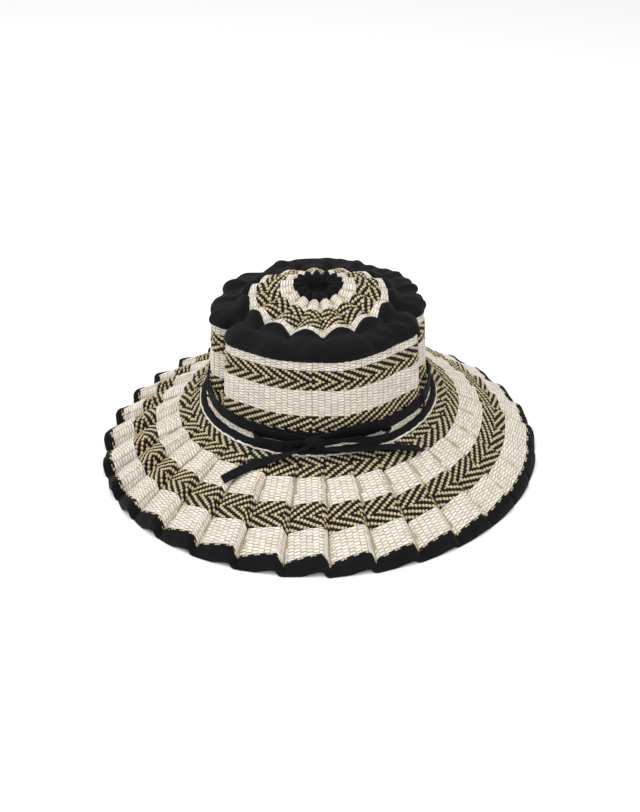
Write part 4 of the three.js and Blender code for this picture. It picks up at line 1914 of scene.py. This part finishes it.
@dataclass
class TipGather:
    """The gathered cotton centre: a finger on each pleat and a dark pit."""

    tip: CrownTip
    rows: tuple[GatherRow, ...] = table(
        GatherRow,
        (20.4, 155.6, 2.0), (20.6, 156.6, 2.4), (18, 157.1, 2.4), (14.5, 157.3, 1.9),
        (11, 156.2, 1.3), (9, 153, 0.9), (7, 149, 0.6), (0.01, 146.2, 0.0),
    )
    sag_radii: tuple[float, ...] = (0, 8, 10.5, 14.5, 19.2)
    sag_shares: tuple[float, ...] = (0, 0.25, 0.5, 0.75, 1)
    scallop: float = 1.4
    pit_fold: float = 0.8
    pit_folds: int = 30
    thickness: float = 1.2
    columns: int = 195

    def build(self, dresser: Dresser, finish: bpy.types.Material) -> None:
        """Make the gathered centre.

        Args:
            dresser: Puts the pieces in the scene.
            finish: The cotton's material.
        """
        turn = round_turns(self.columns)
        share = np.linspace(0, 1, 34)[None, :]
        places = np.linspace(0, 1, len(self.rows))
        out, up, wave = (
            smooth_table(places, column(self.rows, name), share) for name in GatherRow._fields
        )
        ridge = self.tip.wave(turn)
        fold = np.cos(np.radians(turn * self.pit_folds)) * smoothstep(share, 0.5, 0.75)
        radius = out + self.scallop * (ridge - 0.5) * fade_out(share, 0, 0.35)
        radius = np.maximum(radius + self.pit_fold * fold * fade_out(share, 0.8, 1), 0.01)
        sunk = self.tip.sunk(turn) * np.interp(out, self.sag_radii, self.sag_shares)
        points = polar(turn, radius, up - sunk + wave * ridge)
        mesh = Lattice(walled(points, self.thickness, 12), merged=True).mesh("tip_gather_cloth")
        dresser.add(mesh, finish, Slot.COTTON, ["tip_gather"])


@dataclass
class BaseBand:
    """Padded cotton band over the seam of wall and brim, with a thin pale piping at its edge."""

    spots: tuple[Spot, ...] = table(
        Spot,
        (100.9, 53.4), (101.8, 54.8), (101.3, 56.7), (99.8, 58.3), (97.8, 58.5), (96.6, 57.2),
        (98.6, 54.8),
    )
    ripple: Ripple = Ripple(61, 9, 60, 12, 2.0)
    ripple_height: float = 0.3
    piping_radius: float = 102.3
    piping_height: float = 53.25
    piping_half: float = 0.55
    columns: int = 300

    def build(self, dresser: Dresser, cotton: bpy.types.Material, pale: bpy.types.Material) -> None:
        """Make the band and its piping.

        Args:
            dresser: Puts the pieces in the scene.
            cotton: The cotton's material.
            pale: The piping's material.
        """
        turn = round_turns(self.columns)
        section = smooth_path(np.array(self.spots), 3, closed=True)
        middle = section.mean(axis=0)
        way = np.arange(len(section)) / len(section) * 6
        grow = 1 + self.ripple_height * self.ripple.at(turn, way[None, :]) / 4
        out = middle[0] + (section[:, 0] - middle[0])[None, :] * grow
        up = middle[1] + (section[:, 1] - middle[1])[None, :] * grow
        points = polar(turn, out, up + lean_at(turn, out))
        mesh = Lattice(points).mesh("base_band_cloth")
        dresser.add(mesh, cotton, Slot.COTTON, ["base_band"])
        around = round_angles(8)[None, :]
        uneven = 0.35 * self.ripple.at(turn)
        sunk = 0.5 * facing_front(turn, 0.6, 0.95)
        out = self.piping_radius + uneven + self.piping_half * np.cos(around)
        up = self.piping_height - sunk + self.piping_half * np.sin(around)
        points = polar(turn, out, up + lean_at(turn, out))
        mesh = Lattice(points).mesh("base_piping")
        set_number(mesh, "lift", np.ones(len(mesh.vertices)))
        set_number(mesh, "tone", np.zeros(len(mesh.vertices)))
        dresser.add(mesh, pale, Slot.STRAW)


TAPE_SIDES = 0.55
TAPE_FACES = 0.5
HEM_PLACE = 0.78
HEM_WIDTH = 0.08


@dataclass
class Tape:
    """Flat folded cotton tape along a table of places."""

    name: str
    places: tuple[TapePlace, ...]
    node: str
    width: float = 8.6
    thickness: float = 1.4
    groove: float = 0.12
    steps: int = 9
    around: int = 24
    wrinkle: float = 0.25
    seed: int = 71
    end_taper: tuple[float, float] = (1.0, 1.0)

    def middle_line(self) -> np.ndarray:
        """Return the tape's middle line, in millimetres."""
        turn, out, up = (column(self.places, name) for name in ("turn", "out", "up"))
        return smooth_path(polar(turn, out, up), self.steps)

    def section(self) -> tuple[np.ndarray, np.ndarray]:
        """Return the section's places across the width and through the tape, from -1 to 1.

        Returns:
            The two coordinates.
        """
        angle = round_angles(self.around)
        across = blunt(np.cos(angle), TAPE_SIDES)
        through = blunt(np.sin(angle), TAPE_FACES)
        hem = bell(np.abs(across), HEM_PLACE, HEM_WIDTH)
        return across, through * (1 - self.groove * 2 * hem / self.thickness)

    def mesh(self) -> bpy.types.Mesh:
        """Make the tape, closed at both ends.

        Returns:
            The mesh, in metres.
        """
        middle = self.middle_line()
        along = unit(np.gradient(middle, axis=0))
        row = np.arange(len(middle)) / self.steps
        tilt = np.radians(np.interp(row, range(len(self.places)), column(self.places, "tilt")))
        width = unit(middle * (1, 1, 0)) * np.sin(tilt)[:, None]
        width[:, 2] = np.cos(tilt)
        width = unit(width - along * np.sum(width * along, axis=1, keepdims=True))
        face = np.cross(width, along)
        across, through = self.section()
        rng = np.random.default_rng(self.seed)
        starts = rng.uniform(0, 2 * np.pi, 3)
        walked = np.concatenate([[0], np.cumsum(np.linalg.norm(np.diff(middle, axis=0), axis=1))])
        share = walked / walked[-1]
        wave = sum(np.cos(walked / pitch + s) for pitch, s in zip((3.1, 5.3, 8.7), starts))
        bend = self.wrinkle * wave[:, None] * (0.35 + 0.65 * across[None, :] ** 2) / 2
        narrow = np.interp(share, [0, 0.12, 0.88, 1], [self.end_taper[0], 1, 1, self.end_taper[1]])
        side = across[None, :] * self.width / 2 * narrow[:, None]
        depth = through[None, :] * self.thickness / 2 + bend
        points = middle[:, None] + side[..., None] * width[:, None] + depth[..., None] * face[:, None]
        return Lattice(points, closed_round=False).mesh(self.name)

    def build(self, dresser: Dresser, finish: bpy.types.Material) -> bpy.types.Object:
        """Make the piece."""
        return dresser.add(self.mesh(), finish, Slot.COTTON, [self.node])


@dataclass
class Tail(Tape):
    """A free end of the bow, made as flat tape along its places."""

    length: float = 78.0
    steps: int = 10
    wrinkle: float = 0.15

    def build(self, dresser: Dresser, finish: bpy.types.Material) -> bpy.types.Object:
        """Args:
            dresser: Puts the pieces in the scene.
            finish: The cotton's material.

        Returns:
            The piece.
        """
        piece = super().build(dresser, finish)
        path = [tuple(point * METRES) for point in self.middle_line()]
        self.width * METRES
        return piece


TAILS = (
    Tail(
        "bow_tail_left",
        table(
            TapePlace,
            (-94.6, 105.9, 63.6, 30), (-98.5, 107.7, 60.9, 60), (-103.5, 109.6, 57.2, 88),
            (-108.7, 112, 53.2, 105), (-113.2, 116, 50, 112), (-116.6, 121.3, 47.5, 113),
            (-119.4, 127.7, 44.9, 114), (-121.5, 133.5, 42.5, 115), (-123.3, 139.2, 39.9, 115),
        ),
        "tie_tail_left",
        end_taper=(0.7, 1.0),
        length=74.0,
    ),
    Tail(
        "bow_tail_right",
        table(
            TapePlace,
            (-88, 105.7, 61.5, 70), (-77, 107.4, 60.8, 80), (-67, 108.6, 59.5, 88),
            (-58, 110.4, 56.5, 90), (-52.2, 114.8, 54, 95), (-46.8, 121, 51.2, 99),
        ),
        "tie_tail_right",
        seed=72,
        end_taper=(0.7, 1.0),
        length=82.0,
    ),
)
LOOPS = (
    Tape(
        "bow_loop_left",
        table(
            TapePlace,
            (-93.6, 100, 66, 5), (-96.2, 99, 66, 5), (-104, 98.4, 66.6, 3), (-111, 98.4, 67, 0),
            (-117, 98.7, 66.2, 0), (-120, 100, 65, 3), (-120.3, 102.2, 63.6, 10),
            (-117.5, 103.8, 62.6, 17), (-111, 104.3, 62.4, 18), (-104, 103.9, 62.8, 14),
            (-96.9, 102.4, 64.4, 10), (-94, 101.6, 65, 10),
        ),
        "tie_loop_left",
        seed=73,
        end_taper=(0.75, 0.6),
    ),
    Tape(
        "bow_loop_right",
        table(
            TapePlace,
            (-90, 100.2, 67, 5), (-87, 98.8, 68, 5), (-79.5, 98.6, 70.6, 3), (-71, 99, 73.6, 0),
            (-64, 99.6, 73.6, 0), (-58.6, 101.5, 71, 5), (-57, 104.2, 67.2, 15),
            (-59.8, 106.2, 65.4, 25), (-66.5, 106.4, 66.6, 30), (-73, 105.4, 67.8, 25),
            (-79, 103.8, 67.6, 40), (-86.7, 102.2, 66, 10), (-89.5, 101.6, 65.6, 10),
        ),
        "tie_loop_right",
        seed=74,
        end_taper=(0.75, 0.6),
    ),
)


@dataclass
class TieBand:
    """The tape round the crown, and the two small loops that hold it."""

    wall: CrownWall
    out: float = 94.4
    height: float = 66.5
    side_rise: float = 5.0
    lean_out: float = 1.6
    width: float = 8.6
    thickness: float = 1.5
    corners: tuple[Corner, ...] = (Corner(-142, 2.4, 18), Corner(-31, 2.8, 16), Corner(-74, 1.2, 20))
    ripple: Ripple = Ripple(81, 8, 50, 11, 2.0)
    ripple_height: float = 0.3
    keeper_turns: tuple[float, float] = (-166.0, -29.0)
    keeper_reach: float = 7.4
    keeper_width: float = 3.5
    keeper_wall: float = 1.1
    columns: int = 320

    def radius(self, turn: np.ndarray) -> np.ndarray:
        """Return the radius of the tape's inner face at mid-width."""
        return self.out + bumps(self.corners, "swell", turn)

    def middle(self, turn: np.ndarray) -> np.ndarray:
        """Return the height of the tape's middle."""
        side = np.cos(np.radians(turn)) ** 2
        return self.height + self.side_rise * side + lean_at(turn, self.out)

    def band(self) -> bpy.types.Mesh:
        """Make the tape round the crown.

        Returns:
            The mesh, in metres.
        """
        turn = round_turns(self.columns)
        angle = round_angles(28)[None, :]
        across = blunt(np.sin(angle), TAPE_SIDES)
        through = blunt(np.cos(angle), TAPE_FACES)
        hem = bell(np.abs(across), HEM_PLACE, HEM_WIDTH)
        uneven = self.ripple_height * self.ripple.at(turn, 2 * across)
        centre = self.radius(turn) + self.thickness / 2 + uneven - across * self.lean_out / 2
        out = centre + through * (self.thickness / 2 - 0.12 * hem)
        up = self.middle(turn) + across * self.width / 2 + 0.25 * self.ripple.at(turn, 9)
        return Lattice(polar(turn, out, up)).mesh("tie_band_cloth")

    def keeper(self, turn: float, name: str) -> bpy.types.Mesh:
        """Make a small loop that goes over the tape from wall to wall.

        Args:
            turn: Turns, in degrees.
            name: The piece's name.

        Returns:
            The mesh, in metres.
        """
        inner = float(self.radius(np.array(turn)))
        middle = float(self.middle(np.array(turn)))
        bridge = inner + self.lean_out / 2 + self.thickness + 0.9
        reach = self.keeper_reach - 0.5
        spots = np.array([
            (inner - 1.6, reach + 0.6),
            (inner + 0.4, reach + 0.2),
            (bridge - 0.6, reach - 1.2),
            (bridge, 0.0),
            (bridge - 0.1, 1.2 - reach),
            (inner + 1.4, -reach - 0.2),
            (inner + 0.2, -reach - 0.6),
        ])
        line = smooth_path(spots, 5)
        away = unit(np.gradient(line, axis=0))
        angle = round_angles(14)
        side = blunt(np.cos(angle), 0.7) * self.keeper_width / 2
        proud = blunt(np.sin(angle), 0.8) * self.keeper_wall / 2
        out = line[:, :1] - away[:, 1:] * proud
        up = line[:, 1:] + away[:, :1] * proud + middle
        radians = math.radians(turn)
        outward = np.array([math.cos(radians), math.sin(radians), 0.0])
        sideways = np.array([-math.sin(radians), math.cos(radians), 0.0])
        points = out[..., None] * outward + side[None, :, None] * sideways
        points[..., 2] += up
        return Lattice(points, closed_round=False).mesh(name)

    def build(self, dresser: Dresser, finish: bpy.types.Material) -> None:
        """Make the tape and its keepers.

        Args:
            dresser: Puts the pieces in the scene.
            finish: The cotton's material.
        """
        dresser.add(self.band(), finish, Slot.COTTON, ["tie_band"])
        for side, turn in zip(("left", "right"), self.keeper_turns):
            mesh = self.keeper(turn, f"keeper_loop_{side}")
            dresser.add(mesh, finish, Slot.COTTON, [f"tie_keeper_{side}"])


@dataclass
class Knot:
    """The bow's knot: a soft core, a wrap of tape over it and the creased roots of the loops."""

    x: float = -2.6
    y: float = -101.3
    z: float = 65.6
    half: tuple[float, float, float] = (8.0, 3.6, 4.4)
    wrap_x: float = -0.4
    wrap_half: float = 3.7
    wrap_slant: float = 0.42
    wrap_deep: float = 4.4
    wrap_tall: float = 5.2

    def core(self) -> np.ndarray:
        """Return the core's points: a blunt spindle along X with creases running into the wrap.

        Returns:
            The points, columns first.
        """
        share = np.linspace(0, 1, 40)[:, None]
        angle = round_angles(40)[None, :]
        along = -np.cos(share * np.pi)
        girth = np.sin(share * np.pi) ** 0.45
        crease = 1 + 0.07 * np.cos(6 * angle + 2.0 * along) + 0.04 * np.cos(11 * angle - 3 * along)
        girth = girth * crease * (1 - 0.16 * bell(along, 0.1, 0.35))
        x = self.x + self.half[0] * along
        y = self.y + self.half[1] * girth * np.cos(angle)
        z = self.z + self.half[2] * girth * np.sin(angle)
        return np.stack(np.broadcast_arrays(x, y, z), -1)

    def wrap(self) -> np.ndarray:
        """Return the wrap's points: a tape ring round the core, a little aslant.

        Returns:
            The points, columns first.
        """
        around = round_angles(48)[:, None]
        angle = round_angles(24)[None, :]
        side = blunt(np.cos(angle), 0.6)
        proud = blunt(np.sin(angle), 0.6)
        folds = 0.34 * np.cos(side * 7 + 1.3 * np.sin(around)) + 0.12 * np.cos(3 * around)
        folds = folds - 0.7 * side**4
        pinch = 1 - 0.3 * np.cos(around) ** 2
        deep = self.wrap_deep + folds + 0.75 * proud
        tall = self.wrap_tall + folds + 0.75 * proud
        x = self.wrap_x + self.wrap_half * side * pinch - self.wrap_slant * 5 * np.sin(around)
        y = self.y + deep * np.cos(around)
        z = self.z + tall * np.sin(around)
        return np.stack(np.broadcast_arrays(x, y, z), -1)

    def build(self, dresser: Dresser, finish: bpy.types.Material) -> None:
        """Make the knot's two parts.

        Args:
            dresser: Puts the pieces in the scene.
            finish: The cotton's material.
        """
        core = self.core()
        core[0], core[-1] = core[0].mean(axis=0), core[-1].mean(axis=0)
        mesh = Lattice(core, closed_round=False, merged=True).mesh("knot_core")
        dresser.add(mesh, finish, Slot.COTTON, ["tie_knot"])
        mesh = Lattice(self.wrap()).mesh("knot_wrap")
        dresser.add(mesh, finish, Slot.COTTON)


@dataclass
class Studio:
    """Plain pale floor, soft light and the photograph's camera."""

    camera_at: tuple[float, float, float] = (0.0015, -0.96, 0.628)
    camera_pitch: float = 58.4
    lens: float = 57.05
    sensor: float = 36.0
    floor_half: float = 4.0

    def camera(self) -> None:
        """Make the camera at the photograph's angle."""
        data = bpy.data.cameras.new("photo_camera")
        data.lens = self.lens
        data.sensor_width = self.sensor
        camera = bpy.data.objects.new("photo_camera", data)
        camera.location = self.camera_at
        camera.rotation_euler = (math.radians(self.camera_pitch), 0, 0)
        bpy.context.scene.collection.objects.link(camera)
        bpy.context.scene.camera = camera

    def light(self, name: str, at: tuple, aim: tuple, size: float, power: float) -> None:
        """Add a soft square light that faces a point.

        Args:
            name: The light's name.
            at: Where it is.
            aim: The point that it faces.
            size: Its side, in metres.
            power: Its power, in watts.
        """
        data = bpy.data.lights.new(name, "AREA")
        data.energy = power
        data.size = size
        lamp = bpy.data.objects.new(name, data)
        lamp.location = at
        away = Vector(at) - Vector(aim)
        lamp.rotation_euler = away.to_track_quat("Z", "Y").to_euler()
        bpy.context.scene.collection.objects.link(lamp)

    def build(self) -> None:
        """Make the floor, the lights and the even surroundings."""
        half = self.floor_half
        corners = np.array([(-half, -half, 0), (half, -half, 0), (half, half, 0), (-half, half, 0)])
        mesh = stored_mesh("studio_floor", corners / METRES, np.array([[0, 1, 2, 3]]))
        mesh.materials.append(FloorFinish().make())
        floor = bpy.data.objects.new("studio_floor", mesh)
        bpy.context.scene.collection.objects.link(floor)
        middle = (0, 0, 0.08)
        self.light("top_softbox", (-0.25, -0.35, 1.9), middle, 1.6, 24)
        self.light("front_softbox", (0.5, -1.9, 1.1), middle, 1.2, 12)
        self.light("side_softbox", (-1.8, 0.2, 1.0), middle, 1.0, 7)
        world = bpy.data.worlds.new("studio_world")
        world.use_nodes = True
        world.node_tree.nodes["Background"].inputs["Color"].default_value = (1, 1, 1, 1)
        world.node_tree.nodes["Background"].inputs["Strength"].default_value = 0.85
        bpy.context.scene.world = world
        bpy.context.scene.view_settings.view_transform = "Standard"


def main() -> None:
    """Build the hat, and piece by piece."""
    logging.basicConfig(level=logging.INFO, format="%(name)s: %(message)s")
    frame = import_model()
    dresser = Dresser(next(iter(frame["bodies"])))
    studio = Studio()
    studio.camera()
    cotton = CottonFinish(
        "black_cotton_cloth",
        colour=(0.0035, 0.0035, 0.0042, 1),
        worn=(0.006, 0.006, 0.0068, 1),
        lint=(0.05, 0.05, 0.05, 1),
    ).make()
    for tail in TAILS:
        tail.build(dresser, cotton)
    for loop in LOOPS:
        loop.build(dresser, cotton)
    straw = Straw()
    straw.build(dresser)
    RimBinding(straw.brim).build(dresser, cotton)
    CrownRing(straw.wall, straw.tip).build(dresser, cotton)
    TipGather(straw.tip).build(dresser, cotton)
    BaseBand().build(dresser, cotton, bpy.data.materials["cream_strand"])
    TieBand(straw.wall).build(dresser, cotton)
    Knot().build(dresser, cotton)
    studio.build()


if __name__ == "__main__":
    main()
